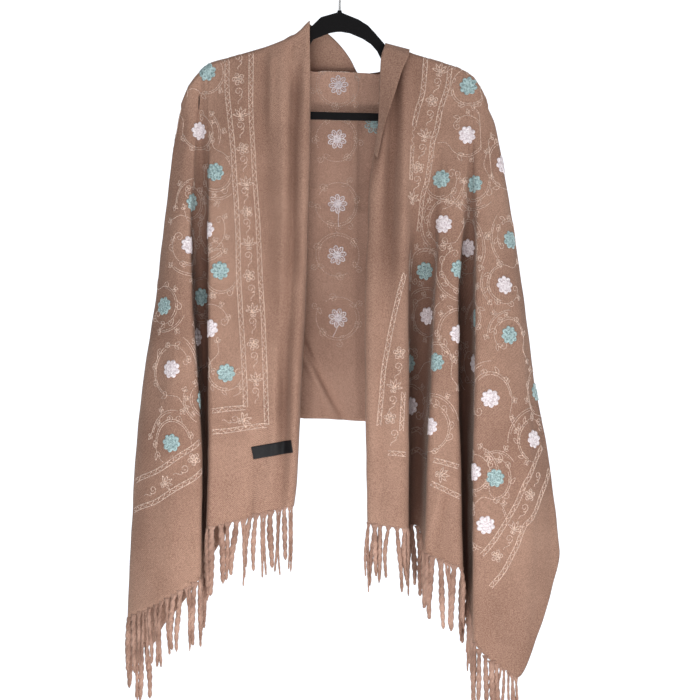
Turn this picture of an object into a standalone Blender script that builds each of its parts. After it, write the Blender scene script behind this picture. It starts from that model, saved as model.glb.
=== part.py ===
"""A fringed wool shawl hung over a flocked clothes hanger, open in front like a poncho.

Frame: metres, +Z up, origin at the inside top of the hanger's hook, where a rail carries it. The hanger
lies in the plane Y = 0, a viewer stands in front at -Y and looks along +Y, and +X is to the viewer's right.
"Drop" is the distance below the origin. The tables are in millimetres.

The shawl is one rectangle of cloth. Its folds run down from the hanger to the hem, so the cloth is made
from fold lines: each row of the tables below is one fold, with its place at the shoulder, at five drops and
at the hem. A smooth surface is drawn through them, and the wall is that surface thickened both ways.
"""

import bisect
import math
import random

import bmesh
import bpy
import numpy as np
from mathutils import Matrix, Vector
from mathutils.bvhtree import BVHTree

MM = 0.001

# The cloth
WALL = 2.0  # thickness of the cloth wall
SEAM_GAP = 0.5  # between neighbouring pieces of the cloth
COLUMN_STEP = 19.0  # widest step between two columns of the cloth
ROWS_BELOW_ROLL = 14  # rows from the shoulder to the hem
ROLL_ANGLES = (0, 35, 65, 90)  # the rows that turn over the hanger's edge
SHOULDER_ROLL = (6.8, 6.0)  # depth and height of that turn
NAPE_ROLL = (0.0, 12.0)  # the same where the back's top edge stands free of the arms
ARM_END_ROUND = 12.0  # length of arm over which that turn closes to a round end
NAPE_FOLD_Y = 12.0  # how far behind the hanger that folded edge lies

# The fringe
STRAND_PITCH = 12.6
STRAND_WIDTH = 5.6  # at its root
STRAND_LENGTH = (76.0, 96.0)  # shortest and longest
STRAND_SWAY = 2.2  # how far a tip may swing from straight down, each way
STRAND_SECTIONS = (  # share of the length, half width, half depth
    (0.08, 2.8, 1.9), (0.4, 2.7, 2.1), (0.75, 2.4, 1.9), (1.0, 1.7, 1.4),
)
STRIP_HEIGHT = 4.0
STRIP_GAP = 0.8  # between the cloth's edge and the strip that carries the strands
SQUARE_SHARE = 0.7  # how far the strip leans from the cloth's fall towards square to the hem
SHARP_BEND = 0.9  # cosine of a bend of the hem at which no strand is set
ROOT_CLEAR = 1.25  # how far a bend keeps from the middle of a strand, in half widths
LEFT_SEED, RIGHT_SEED = 3, 5  # for the sway and the length of the strands

# The label: its place on the left front, its size and its tilt
LABEL_CENTRE = (-93.5, 696.5)  # X and drop
LABEL_SIZE = (56.0, 17.5)
LABEL_TILT = math.radians(10)
LABEL_THICK = 0.6
LABEL_LIFT = 0.9  # of its underside off the cloth
LABEL_GRID = (14, 4)  # points across and down
LABEL_SEEN_FROM = -200.0  # Y in front of all the cloth, from which the cloth under it is found

# The hanger
HANGER_THICK = 6.0
HANGER_BEVEL = 1.2
BAR_HEIGHT = 11.0
BAR_THICK = 5.0
BAR_TILT = math.radians(1.4)
BAR_CENTRE_DROP = 229.0  # at X = 0
BAR_ROUNDING = 1.2
HOOK_WIRE = 3.4
HOOK_RADIUS = 20.0  # inside radius of the bowl
HOOK_FOOT = 12  # the point of HANGER_OUTER on which the wire stands
HOOK_STRAIGHT = 8.0  # length of wire that stands straight up out of the arch
HOOK_LEAN = 12.0  # how far below the start of the bowl the neck's curve aims
HOOK_NECK_STEPS, HOOK_BOWL_STEPS = 8, 24
HOOK_BOWL_START = math.radians(-50)  # where the bowl begins, from level on the right
HOOK_BOWL_SWEEP = math.radians(245)

# Colours and edges
WOOL_COLOUR = (0.36, 0.22, 0.155)
NAPE_COLOUR = (0.34, 0.20, 0.14)
YARN_COLOUR = (0.30, 0.17, 0.115)
SATIN_COLOUR = (0.012, 0.011, 0.012)
FLOCK_COLOUR = (0.018, 0.017, 0.018)
STEEL_COLOUR = (0.72, 0.71, 0.70)
SHARP_ANGLE = math.radians(50)  # an edge that turns more than this is drawn sharp

# The drops at which the tables give each fold's place, between the shoulder and the hem
LEVELS = (240, 360, 490, 600, 710)
FIRST_LEVEL_CLEAR = 10.0  # a level less than this below the shoulder is left out

# The top edge of the cloth over the hanger's arms, as X and drop
LEFT_SHOULDER = (
    (-222.5, 211), (-211.5, 184.5), (-194.5, 163.5), (-180.5, 153.5), (-151, 145), (-101, 130),
    (-85, 125), (-68.5, 116), (-61.5, 114), (-50.5, 102), (-42, 94),
)
RIGHT_SHOULDER = (
    (66, 130), (99.5, 139.5), (143, 152.5), (168, 160.5), (189, 173.5), (200, 191), (208.5, 212),
)

# The folded top edge of the back, between the shoulders
NAPE_LINE = ((-53, 142), (-42, 163.5), (57, 168), (71, 146))

# Each fold: kind, X at the shoulder, X at the five LEVELS, X at the hem, the hem's drop,
# then Y at the five LEVELS and at the hem. None is a level below that fold's hem.
# Kinds: "edge" or "fold" is a line that the cloth passes through, and "deep" is the bottom of a valley
# whose two walls are made from it and its neighbours.
LEFT_FRONT = (
    # kind  shoulder        X at the levels                 hem: X, drop      Y at the levels            hem
    ("edge", -42,    (-41, -43.5, -47, -53, -59.5),         -66, 774,    (-16, -20, -28, -34, -38),      -40),
    ("fold", -47.5,  (-48.5, -50, -54, -60, -66),           -72, 776,    (-23, -28, -36, -42, -46),      -47),
    ("fold", -56,    (-64, -64, -67, -74, -80),             -85, 779,    (-10, -15, -25, -34, -41),      -43),
    ("fold", -67,    (-77, -78.5, -82.5, -88, -95),        -102, 784,    (-22, -28, -36, -42, -46),      -48),
    ("fold", -101,   (-106.5, -106.5, -107, -111, -116),   -122, 789,     (-9, -14, -23, -31, -37),      -39),
    ("fold", -133,   (-136, -133, -129, -129, -134.5),     -141, 795,    (-17, -25, -36, -44, -48),      -48),
    ("fold", -157,   (-162, -157, -154, -154, -157),       -161, 800,    (-16, -26, -39, -47, -51),      -51),
    ("fold", -180.5, (-182, -182, -180.5, -180.5, -180.5), -183.5, 806,  (-12, -26, -42, -48, -52),      -52),
    ("deep", -190.5, (-192, -195, -194.5, -190, -186.5),   -187.5, 835,   (-9, -4, 3, 4, 2),              -8),
    ("fold", -199,   (-201.5, -210, -206.5, -199, -192.5), -194, 876,    (-12, -24, -38, -46, -52),      -54),
    ("fold", -204.5, (-210, -221, -227, -228, -225.5),     -222.5, 893,  (-11, -25, -40, -50, -56),      -58),
    ("fold", -213,   (-220, -234, -245, -252, -255),       -256, 913,     (-7, -17, -28, -36, -42),      -45),
    ("fold", -222.5, (-227.5, -243.5, -258.5, -275, -286), -297.5, 939,    (0, -1, -3, -5, -7),           -9),
)

BACK = (
    ("fold", -220,   (-225, -239, -252, -266, -274),       -267.5, 974,    (7, 13, 18, 20, 18),            8),
    ("fold", -210,   (-217, -227, -235, -241, -245),       -248, 946,    (13, 26, 36, 40, 38),            30),
    ("fold", -196,   (-204, -210, -214, -215.5, -215.5),   -214, 904,    (12, 16, 19, 20, 19),            18),
    ("fold", -175,   (-185, -187.5, -189, -187.5, -183.5), -178, 845,    (18, 34, 46, 52, 50),            46),
    ("fold", -147,   (-157, -158, -157, -154, -148),       -143, 785,    (14, 16, 19, 21, 21),            21),
    ("fold", -117.5, (-126, -127.5, -126, -120.5, None),   -109, 729,    (20, 36, 46, 52, None),          52),
    ("fold", -87,    (-94, -94, -92.5, -87, None),          -78.5, 680,  (14, 17, 20, 22, None),          22),
    ("fold", -61.5,  (-61.5, -60, -59, -57.5, None),        -57.5, 655,  (16, 23, 30, 32, None),          32),
    ("nape", -53,    (-52, -52, -51, -49, None),            -49, 655,    (15, 22, 29, 30, None),          30),
    ("nape", -42,    (-41, -40, -39, -36, None),            -35, 655,    (14, 20, 26, 27, None),          27),
    ("nape", -17,    (-17, -17, -17, -17, None),            -17, 655.5,  (14, 22, 30, 31, None),          31),
    ("nape", 3,      (3, 3, 3, 3, None),                      3, 656.5,  (13, 20, 27, 29, None),          29),
    ("nape", 21,     (21, 21, 21, 21, None),                 21, 658,    (12, 18, 24, 25, None),          25),
    ("nape", 39,     (39, 39, 39, 39, None),                 39, 659,    (14, 21, 29, 31, None),          31),
    ("nape", 57,     (59, 60, 61, 62, None),                 62, 661,    (14, 20, 26, 28, None),          28),
    ("nape", 71,     (71, 72, 73, 74, None),                 75, 665,    (15, 21, 26, 28, None),          28),
    ("fold", 82,     (84, 86, 88, 89, None),                 91, 672,    (16, 22, 27, 28, None),          28),
    ("fold", 109,    (112, 113, 114, 115, None),            117.5, 693,  (20, 37, 48, 53, None),          52),
    ("fold", 134,    (138, 141, 144, 146, None),            150, 717,    (14, 17, 19, 21, None),          21),
    ("fold", 157,    (162, 168, 173, 178, None),            185, 738,    (18, 35, 48, 53, None),          50),
    ("fold", 173.5,  (182, 192, 202, 210, None),            220, 757,    (13, 16, 18, 20, None),          20),
    ("fold", 186,    (196, 212, 228, 240, None),            255, 777,    (15, 30, 40, 44, None),          42),
    ("fold", 200,    (208, 227, 246, 261, 276),             284, 796,     (8, 15, 19, 21, 21),            19),
)

RIGHT_FRONT = (
    ("edge", 67,    (55, 40.5, 46, 54.5, 59),                61.5, 802,  (-17, -24, -34, -37, -39),      -41),
    ("fold", 70,    (59.5, 44, 36, 36.5, 38),                39, 798,    (-21, -30, -46, -51, -54),      -55),
    ("fold", 75,    (65, 52.5, 47, 47, 48),                  50, 800,    (-24, -33, -54, -59, -61),      -61),
    ("fold", 84,    (78.5, 70.5, 66, 65, 66),                67, 802.5,  (-13, -22, -39, -47, -52),      -55),
    ("fold", 99.5,  (96.5, 89.5, 84, 83.5, 83.5),            84, 805,    (-21, -35, -51, -57, -60),      -61),
    ("fold", 117.5, (112, 99.5, 95, 95, 95),                 95, 806,    (-15, -28, -43, -49, -52),      -53),
    ("deep", 137,   (136, 122, 113.5, 111.5, 109),          107.5, 804,  (-12, -16, -3, 1, 1),            -3),
    ("fold", 154,   (157, 144, 134.5, 129.5, 124),          120.5, 841,  (-14, -27, -41, -47, -51),      -52),
    ("fold", 164,   (168, 159.5, 150, 147, 147),            147, 852,    (-15, -31, -47, -53, -56),      -57),
    ("fold", 172,   (178, 173.5, 164.5, 164, 167),          170, 862,    (-13, -27, -40, -46, -51),      -53),
    ("deep", 178,   (186, 183.5, 177, 175.5, 177.5),        178.5, 897,  (-12, -14, -2, 2, 2),            -3),
    ("fold", 183,   (193, 193, 191, 190.5, 187.5),          187, 964,    (-12, -26, -43, -51, -57),      -59),
    ("fold", 188,   (201.5, 208.5, 211.5, 211.5, 208.5),    207, 986,    (-11, -28, -47, -55, -61),      -61),
    ("fold", 193.5, (208, 223, 235, 236.5, 235),            231, 1002,   (-10, -21, -37, -47, -53),      -53),
    ("fold", 198.5, (212.5, 233, 250, 259, 263),            249, 1013,    (-9, -14, -24, -33, -41),      -45),
    ("fold", 202.5, (215.4, 237, 256, 268.5, 281.5),        276, 957,     (-7, -8, -13, -19, -25),       -31),
    ("fold", 206,   (216.4, 238.5, 257.8, 272, 289.5),      297, 893,     (-4, -4, -7, -11, -15),        -19),
    ("fold", 208.5, (216.5, 238.7, 258.2, 273, 293),        308, 835,      (0, 0, -1, -3, -5),            -7),
)

# The pieces that the cloth is made in, from the left lapel round to the right one, each with the table and
# the row of the fold at which it ends. They meet at the side folds, in the valleys and along the back's folds.
PIECES = (
    ("shawl_left_inner", "left", 8), ("shawl_left_outer", "left", 12),
    ("shawl_back_left_end", "back", 4), ("shawl_back_left", "back", 8), ("shawl_back_middle", "back", 15),
    ("shawl_back_right", "back", 18), ("shawl_back_right_end", "right", 17),
    ("shawl_right_outer", "right", 10), ("shawl_right_middle", "right", 6), ("shawl_right_inner", "right", 0),
)
LABELLED = "shawl_left_inner"

# The walls of a deep valley, from the ridge beside it (0) to its bottom (1): across, and in depth.
# A valley shallower than STEEP_FROM has walls that slope evenly.
VALLEY_WALL = ((0.02, 0.35), (0.28, 0.85))
STEEP_FROM = 22.0

# The last fold of BACK that still hangs at the fringed end on the left, and the fold of RIGHT_FRONT at
# whose hem the fringed end stops on the right
LEFT_CORNER = 0
RIGHT_CORNER = 14

# The nape flap: across (X, Y, drop) at its upper edge and at its lower, hidden edge
NAPE_FLAP = (
    ((-43.5, 1.5, 97), (-56, 1.5, 109)),
    ((-40, 9, 100), (-56, 12, 124)),
    ((-28, 12, 104), (-50, 18, 150)),
    ((-15.4, 14, 112), (-36, 20, 174)),
    ((3, 16, 130), (-8, 20.5, 186)),
    ((16.8, 18, 149.6), (12, 21, 192)),
    ((24, 19, 164), (22, 21, 192)),
    ((33, 20, 176), (31, 21, 194)),
)

# The turned-over collar: the folded line and the free edge, as X, Y and drop, from the nape over the
# right shoulder to where it dies out on the front
COLLAR_FOLD = (
    (42, 17, 167), (58, 18, 164), (66, 17, 149), (66.5, 11, 134), (64.5, 0, 126.5), (63, -10, 132),
    (58, -15, 150), (56, -20, 200), (54.5, -22, 240), (48.5, -24, 282),
)
COLLAR_EDGE = (
    (46, 19, 190), (68, 21, 196), (87, 21, 181), (96, 18, 156), (98.5, 0, 135.5), (97, -18, 145),
    (88, -24, 166), (74, -30, 210), (64, -30, 240), (53, -29, 290),
)

# The hanger's arch and arms: outer edge and inner edge, as X and drop, from one bar end to the other
HANGER_OUTER = (
    (-210, 232), (-210, 212), (-203, 190), (-190, 172), (-178, 163), (-151, 153), (-101, 139),
    (-62, 123), (-42, 105), (-26, 89.5), (-8.4, 84.5), (-3.4, 83), (-2.6, 80), (2.6, 80), (3.6, 83.5),
    (26.7, 92.9), (40.2, 101.4), (49.1, 111), (62.4, 126.5), (70, 138), (99, 149), (143, 161), (168, 169),
    (184, 180), (194, 196), (200, 214), (200, 240),
)
HANGER_INNER = (
    (-196, 232), (-196, 214), (-190, 201), (-181, 190), (-172, 184), (-149, 176), (-95, 162),
    (-50, 142), (-37, 121), (-14.8, 112.2), (-6, 110.6), (-3.4, 110.3), (-2.6, 110.2), (2.6, 110.2),
    (3.6, 110.4), (14.3, 112.2), (32.2, 119.8), (44, 127.5), (52.5, 137), (59, 150), (92, 170),
    (138, 184), (161, 191), (173, 199), (181, 210), (186, 222), (186, 240),
)


def smooth_slopes(t, f):
    """Slopes for a cubic through the points that never overshoots them."""
    step = np.diff(t)
    rise = np.diff(f, axis=0) / step[:, None]
    slopes = np.empty_like(f)
    slopes[0], slopes[-1] = rise[0], rise[-1]
    for i in range(1, len(t) - 1):
        before, after = rise[i - 1], rise[i]
        same_way = before * after > 0
        mean = 2 * before * after / np.where(same_way, before + after, 1.0)
        slopes[i] = np.where(same_way, mean, 0.0)
    return slopes


def cubic(t, f, slopes, at):
    """The cubic through (t, f) with these slopes, read at each value of at."""
    rows = []
    for value in at:
        i = min(max(bisect.bisect_right(t, value) - 1, 0), len(t) - 2)
        h = t[i + 1] - t[i]
        s = (value - t[i]) / h
        rows.append(
            f[i] * (1 + 2 * s) * (1 - s) ** 2 + slopes[i] * h * s * (1 - s) ** 2
            + f[i + 1] * s * s * (3 - 2 * s) + slopes[i + 1] * h * s * s * (s - 1)
        )
    return np.array(rows)


def along(points, x):
    """The second column of points at x, straight between them."""
    table = np.array(sorted(points), float)
    return float(np.interp(x, table[:, 0], table[:, 1]))


def fold_line(row, side):
    """The points of one fold line in millimetres, down the cloth; side is -1 in front and 1 behind."""
    kind, shoulder_x, level_x, hem_x, hem_drop, level_y, hem_y = row
    if kind == "nape":
        top_drop = along(NAPE_LINE, shoulder_x)
        roll_depth, roll_height = NAPE_ROLL
        top_y, turn = NAPE_FOLD_Y, -1
    else:
        top_drop = along(LEFT_SHOULDER if shoulder_x < 0 else RIGHT_SHOULDER, shoulder_x) + WALL / 2
        roll_depth, roll_height = SHOULDER_ROLL
        to_end = (LEFT_SHOULDER[0][0] - shoulder_x) if shoulder_x < 0 else (shoulder_x - RIGHT_SHOULDER[-1][0])
        roll_depth *= math.sqrt(min(1.0, abs(to_end) / ARM_END_ROUND))
        top_y, turn = side * SEAM_GAP / 2, side
    turned = []
    for degrees in ROLL_ANGLES:
        angle = math.radians(degrees)
        y = top_y + turn * roll_depth * math.sin(angle)
        turned.append((shoulder_x, y, top_drop + roll_height * (1 - math.cos(angle))))
    start = turned[-1]
    knots = [(start[2], start[0], start[1])]
    for drop, x, y in zip(LEVELS, level_x, level_y):
        if x is not None and drop > start[2] + FIRST_LEVEL_CLEAR:
            knots.append((drop, x, y))
    knots.append((hem_drop, hem_x, hem_y))
    table = np.array(knots, float)
    t, f = list(table[:, 0]), table[:, 1:]
    slopes = smooth_slopes(table[:, 0], f)
    drops = start[2] + (hem_drop - start[2]) * np.arange(1, ROWS_BELOW_ROLL + 1) / ROWS_BELOW_ROLL
    lower = cubic(t, f, slopes, drops)
    below = np.column_stack([lower, drops])
    return np.vstack([np.array(turned), below])


def valley_walls(ridge, bottom):
    """Fold lines down one wall of a deep valley, from the ridge beside it to its bottom."""
    drop_in = np.abs(bottom[:, 1:2] - ridge[:, 1:2])
    steep = np.clip(drop_in / STEEP_FROM, 0, 1) ** 2
    walls = []
    for k, (across, deep) in enumerate(VALLEY_WALL):
        even = (k + 1) / (len(VALLEY_WALL) + 1)
        share = even + steep * (np.array([across, deep, (across + deep) / 2]) - even)
        walls.append(ridge + (bottom - ridge) * share)
    return walls


def rails_of(rows, side):
    """All the fold lines of one table, with the walls of its deep valleys, and the index of each row."""
    lines = [fold_line(row, side) for row in rows]
    rails, places = [], []
    for i, row in enumerate(rows):
        if row[0] == "deep":
            rails += valley_walls(lines[i - 1], lines[i])
            places.append(len(rails))
            rails.append(lines[i])
            rails += valley_walls(lines[i + 1], lines[i])[::-1]
        else:
            places.append(len(rails))
            rails.append(lines[i])
    return rails, places


def between(rails, i, fraction):
    """The column a fraction of the way from rail i to the next, on a smooth curve through the rails."""
    one, two = rails[i], rails[i + 1]
    if fraction == 0:
        return one
    before = rails[i - 1] if i > 0 else 2 * one - two
    after = rails[i + 2] if i + 2 < len(rails) else 2 * two - one

    def spacing(a, b):
        return np.maximum(np.linalg.norm(b - a, axis=1, keepdims=True), 0.5) ** 0.5

    first, middle, last = spacing(before, one), spacing(one, two), spacing(two, after)
    leave = middle * ((one - before) / first - (two - before) / (first + middle) + (two - one) / middle)
    arrive = middle * ((two - one) / middle - (after - one) / (middle + last) + (after - two) / last)
    s = fraction
    return (
        one * (1 + 2 * s) * (1 - s) ** 2 + leave * s * (1 - s) ** 2
        + two * s * s * (3 - 2 * s) + arrive * s * s * (s - 1)
    )


def cloth_columns(rails):
    """Columns no further apart than COLUMN_STEP, and the column at which each rail comes."""
    columns, starts = [], []
    for i in range(len(rails) - 1):
        starts.append(len(columns))
        widest = np.linalg.norm(rails[i + 1] - rails[i], axis=1).max()
        steps = max(1, math.ceil(widest / COLUMN_STEP))
        columns += [between(rails, i, k / steps) for k in range(steps)]
    starts.append(len(columns))
    columns.append(rails[-1])
    return np.array(columns), starts


def to_world(points):
    """(X, Y, drop) in millimetres to metres with Z up."""
    return np.stack([points[..., 0], points[..., 1], -points[..., 2]], axis=-1) * MM


def surface_normals(grid):
    """Unit normals at the points of a grid of columns and rows, out of the garment's right side."""
    across = np.gradient(grid, axis=0)
    down = np.gradient(grid, axis=1)
    normals = np.cross(across, down)
    return normals / np.maximum(np.linalg.norm(normals, axis=2, keepdims=True), 1e-12)


def material(name, colour, roughness, metallic=0.0):
    made = bpy.data.materials.new(name)
    made.use_nodes = True
    shader = made.node_tree.nodes["Principled BSDF"]
    shader.inputs["Base Color"].default_value = (*colour, 1.0)
    shader.inputs["Roughness"].default_value = roughness
    shader.inputs["Metallic"].default_value = metallic
    return made


def mesh_object(name, vertices, faces, finish):
    mesh = bpy.data.meshes.new(name)
    mesh.from_pydata([tuple(v) for v in vertices], [], faces)
    mesh.validate()
    mesh.shade_smooth()
    mesh.set_sharp_from_angle(angle=SHARP_ANGLE)
    mesh.materials.append(finish)
    made = bpy.data.objects.new(name, mesh)
    bpy.context.scene.collection.objects.link(made)
    return made


def wall_object(name, grid, normals, thickness, finish):
    """A closed wall from a grid of points: thickened both ways along the normals."""
    columns, rows = grid.shape[:2]
    half = normals * thickness * MM / 2
    vertices = np.concatenate([(grid + half).reshape(-1, 3), (grid - half).reshape(-1, 3)])
    inner = columns * rows
    faces = []
    for c in range(columns - 1):
        for r in range(rows - 1):
            a, b = c * rows + r, (c + 1) * rows + r
            faces.append((a, b, b + 1, a + 1))
            faces.append((inner + a, inner + a + 1, inner + b + 1, inner + b))
    for r in range(rows - 1):
        for c, flip in ((0, False), (columns - 1, True)):
            a = c * rows + r
            rim = (a, a + 1, inner + a + 1, inner + a)
            faces.append(rim[::-1] if flip else rim)
    for c in range(columns - 1):
        for r, flip in ((0, True), (rows - 1, False)):
            a, b = c * rows + r, (c + 1) * rows + r
            rim = (a, b, inner + b, inner + a)
            faces.append(rim if flip else rim[::-1])
    faces = [face[::-1] for face in faces]
    return face_outwards(mesh_object(name, vertices, faces, finish))


def face_outwards(made):
    shape = bmesh.new()
    shape.from_mesh(made.data)
    bmesh.ops.recalc_face_normals(shape, faces=shape.faces[:])
    shape.to_mesh(made.data)
    shape.free()
    return made


def half_gaps(grid, normals, side_folds):
    """For each column, half a seam gap towards the next one; at the side folds, along Y the way each gives."""
    onward = np.gradient(grid, axis=0)
    onward -= normals * np.sum(onward * normals, axis=2, keepdims=True)
    onward /= np.maximum(np.linalg.norm(onward, axis=2, keepdims=True), 1e-12)
    for column, way in side_folds:
        onward[column] = (0, way, 0)
    onward[0] = onward[-1] = 0
    return onward * SEAM_GAP * MM / 2


def part_of_cloth(grid, gaps, first, last):
    """Columns first to last, drawn back by half a seam gap at each end."""
    piece = grid[first:last + 1].copy()
    piece[0] += gaps[first]
    piece[-1] -= gaps[last]
    return piece


def strip_with_strands(name, hem, hem_normals, hem_down, finish, seed):
    """A narrow strip just below a hem, whose underside runs on into the separate strands of a fringe."""
    chance = random.Random(seed)
    steps = np.linalg.norm(np.diff(hem, axis=0), axis=1)
    reach = np.concatenate([[0], np.cumsum(steps)])
    length = reach[-1]
    count = int(length / MM // STRAND_PITCH)
    half = STRAND_WIDTH * MM / 2
    way = np.diff(hem, axis=0) / steps[:, None]
    bends = [reach[i + 1] for i in range(len(way) - 1) if np.dot(way[i], way[i + 1]) < SHARP_BEND]
    middles = [(i + 0.5) * length / count for i in range(count)]
    middles = [middle for middle in middles if all(abs(middle - bend) > half * ROOT_CLEAR for bend in bends)]
    stations = []
    for middle in middles:
        stations += [(middle - half, True), (middle + half, False)]
    for value in reach:
        if all(abs(value - middle) > half * ROOT_CLEAR for middle in middles):
            stations.append((value, False))
    stations.sort()

    def read(table, at):
        return np.array([np.interp(at, reach, table[:, k]) for k in range(3)])

    vertices, faces, roots = [], [], []
    for at, starts_strand in stations:
        point, out, down = read(hem, at), read(hem_normals, at), read(hem_down, at)
        out /= np.linalg.norm(out)
        down /= np.linalg.norm(down)
        top = point + down * STRIP_GAP * MM
        low = point + down * (STRIP_GAP + STRIP_HEIGHT) * MM
        thick = out * WALL * MM / 2
        vertices += [top + thick, top - thick, low - thick, low + thick]
    for i in range(len(stations) - 1):
        a, b = 4 * i, 4 * i + 4
        faces += [(a, b, b + 1, a + 1), (a + 1, b + 1, b + 2, a + 2), (a + 3, b + 3, b, a)]
        if stations[i][1]:
            roots.append((a + 3, a + 2, b + 2, b + 3))
        else:
            faces.append((a + 2, b + 2, b + 3, a + 3))
    end = 4 * (len(stations) - 1)
    faces += [(0, 1, 2, 3), (end + 3, end + 2, end + 1, end)]

    for root in roots:
        corners = [vertices[k] for k in root]
        centre = sum(corners) / 4
        wide = corners[3] - corners[0]
        wide /= np.linalg.norm(wide)
        out = corners[0] - corners[1]
        out /= np.linalg.norm(out)
        sway_wide, sway_out = (chance.uniform(-STRAND_SWAY, STRAND_SWAY) for _ in range(2))
        long = chance.uniform(*STRAND_LENGTH)
        ring = list(root)
        for share, half_wide, half_out in STRAND_SECTIONS:
            drop = share * long
            place = centre + np.array([0, 0, -drop * MM]) + (wide * sway_wide + out * sway_out) * share * MM
            across, depth = wide * half_wide * MM, out * half_out * MM
            new = [
                place - across + depth, place - across - depth, place + across - depth, place + across + depth,
            ]
            first = len(vertices)
            vertices += new
            for k in range(4):
                faces.append((ring[k], ring[(k + 1) % 4], first + (k + 1) % 4, first + k))
            ring = [first, first + 1, first + 2, first + 3]
        faces.append(tuple(ring))
    return face_outwards(mesh_object(name, vertices, faces, finish))


def strip_between(first_edge, second_edge, across, lengthwise):
    """A grid of points between two edges, each a smooth curve through its own points."""
    def curve(points):
        table = np.array(points, float)
        t = np.arange(len(table), dtype=float)
        return cubic(list(t), table, smooth_slopes(t, table), np.linspace(0, len(table) - 1, lengthwise))

    one, two = curve(first_edge), curve(second_edge)
    return np.array([one + (two - one) * k / across for k in range(across + 1)])


def nape_flap(finish):
    """The plain neck edge that comes over the left arm and crosses behind the hanger's arch."""
    upper, lower = zip(*NAPE_FLAP)
    grid = to_world(strip_between(upper, lower, across=4, lengthwise=16))
    return wall_object("nape_flap", grid, surface_normals(grid), WALL, finish)


def collar_turnover(finish):
    """The neck edge turned over outwards: a crescent from the nape over the right shoulder."""
    grid = to_world(strip_between(COLLAR_FOLD, COLLAR_EDGE, across=4, lengthwise=24))
    return wall_object("collar_turnover", grid, surface_normals(grid), WALL, finish)


def label(panel, finish):
    """A small plain label that follows the outside of the panel it is sewn to."""
    shape = bmesh.new()
    shape.from_mesh(panel.data)
    tree = BVHTree.FromBMesh(shape)
    wide, high = LABEL_SIZE
    across = Vector((math.cos(LABEL_TILT), 0, math.sin(LABEL_TILT)))
    up = Vector((-math.sin(LABEL_TILT), 0, math.cos(LABEL_TILT)))
    centre = Vector((LABEL_CENTRE[0], LABEL_SEEN_FROM, -LABEL_CENTRE[1])) * MM
    columns, rows = LABEL_GRID
    depth = np.empty((columns, rows))
    places = {}
    for c in range(columns):
        for r in range(rows):
            place = centre + across * wide * MM * (c / (columns - 1) - 0.5)
            place += up * high * MM * (0.5 - r / (rows - 1))
            hit = tree.ray_cast(place, Vector((0, 1, 0)))[0]
            depth[c, r] = hit.y
            places[c, r] = place
    shape.free()
    near = depth.copy()
    for c in range(columns):
        for r in range(rows):
            near[c, r] = depth[max(c - 1, 0):c + 2, max(r - 1, 0):r + 2].min()
    level = 0.5 * near + 0.5 * depth
    vertices, faces = [], []
    for lift in (LABEL_LIFT + LABEL_THICK, LABEL_LIFT):
        for c in range(columns):
            for r in range(rows):
                place = places[c, r]
                vertices.append((place.x, level[c, r] - lift * MM, place.z))
    inner = columns * rows
    for c in range(columns - 1):
        for r in range(rows - 1):
            a, b = c * rows + r, (c + 1) * rows + r
            faces += [(a, a + 1, b + 1, b), (inner + a, inner + b, inner + b + 1, inner + a + 1)]
    for r in range(rows - 1):
        for c in (0, columns - 1):
            a = c * rows + r
            faces.append((a, a + 1, inner + a + 1, inner + a))
    for c in range(columns - 1):
        for r in (0, rows - 1):
            a, b = c * rows + r, (c + 1) * rows + r
            faces.append((a, b, inner + b, inner + a))
    return face_outwards(mesh_object("label", vertices, faces, finish))


def hanger_body(finish):
    """The arch and arms: a flat band between an outer and an inner edge, with bevelled corners."""
    outer, inner = np.array(HANGER_OUTER, float), np.array(HANGER_INNER, float)
    half = HANGER_THICK / 2
    bevel = HANGER_BEVEL
    vertices, faces = [], []
    for (ox, oz), (ix, iz) in zip(outer, inner):
        inward = np.array([ix - ox, iz - oz])
        inward /= np.linalg.norm(inward)
        section = []
        for edge, sign in (((ox, oz), 1), ((ix, iz), -1)):
            near = np.array(edge)
            far = near + sign * inward * bevel
            corners = [(near, half - bevel), (far, half)]
            section += corners if sign > 0 else corners[::-1]
        ring = section + [(place, -depth) for place, depth in section[::-1]]
        vertices += [(place[0] * MM, -depth * MM, -place[1] * MM) for place, depth in ring]
    around = len(ring)
    for i in range(len(outer) - 1):
        for k in range(around):
            a, b = i * around + k, i * around + (k + 1) % around
            faces.append((a, b, b + around, a + around))
    last = (len(outer) - 1) * around
    faces += [tuple(range(around)), tuple(range(last, last + around))]
    return face_outwards(mesh_object("hanger_body", vertices, faces, finish))


def hanger_bar(finish):
    """The straight bar between the two arm ends."""
    left, right = HANGER_INNER[0][0] + SEAM_GAP * 2, HANGER_INNER[-1][0] - SEAM_GAP * 2
    bpy.ops.mesh.primitive_cube_add(size=1)
    bar = bpy.context.object
    bar.name = "hanger_bar"
    middle = (left + right) / 2
    length = (right - left) / math.cos(BAR_TILT) - BAR_HEIGHT * math.tan(BAR_TILT)
    bar.data.transform(Matrix.Diagonal((length * MM, BAR_THICK * MM, BAR_HEIGHT * MM, 1)))
    bar.location = (middle * MM, 0, -(BAR_CENTRE_DROP + middle * math.tan(BAR_TILT)) * MM)
    bar.rotation_euler = (0, BAR_TILT, 0)
    rounding = bar.modifiers.new("rounding", "BEVEL")
    rounding.width = BAR_ROUNDING * MM
    rounding.segments = 2
    bar.data.materials.append(finish)
    return bar


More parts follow.
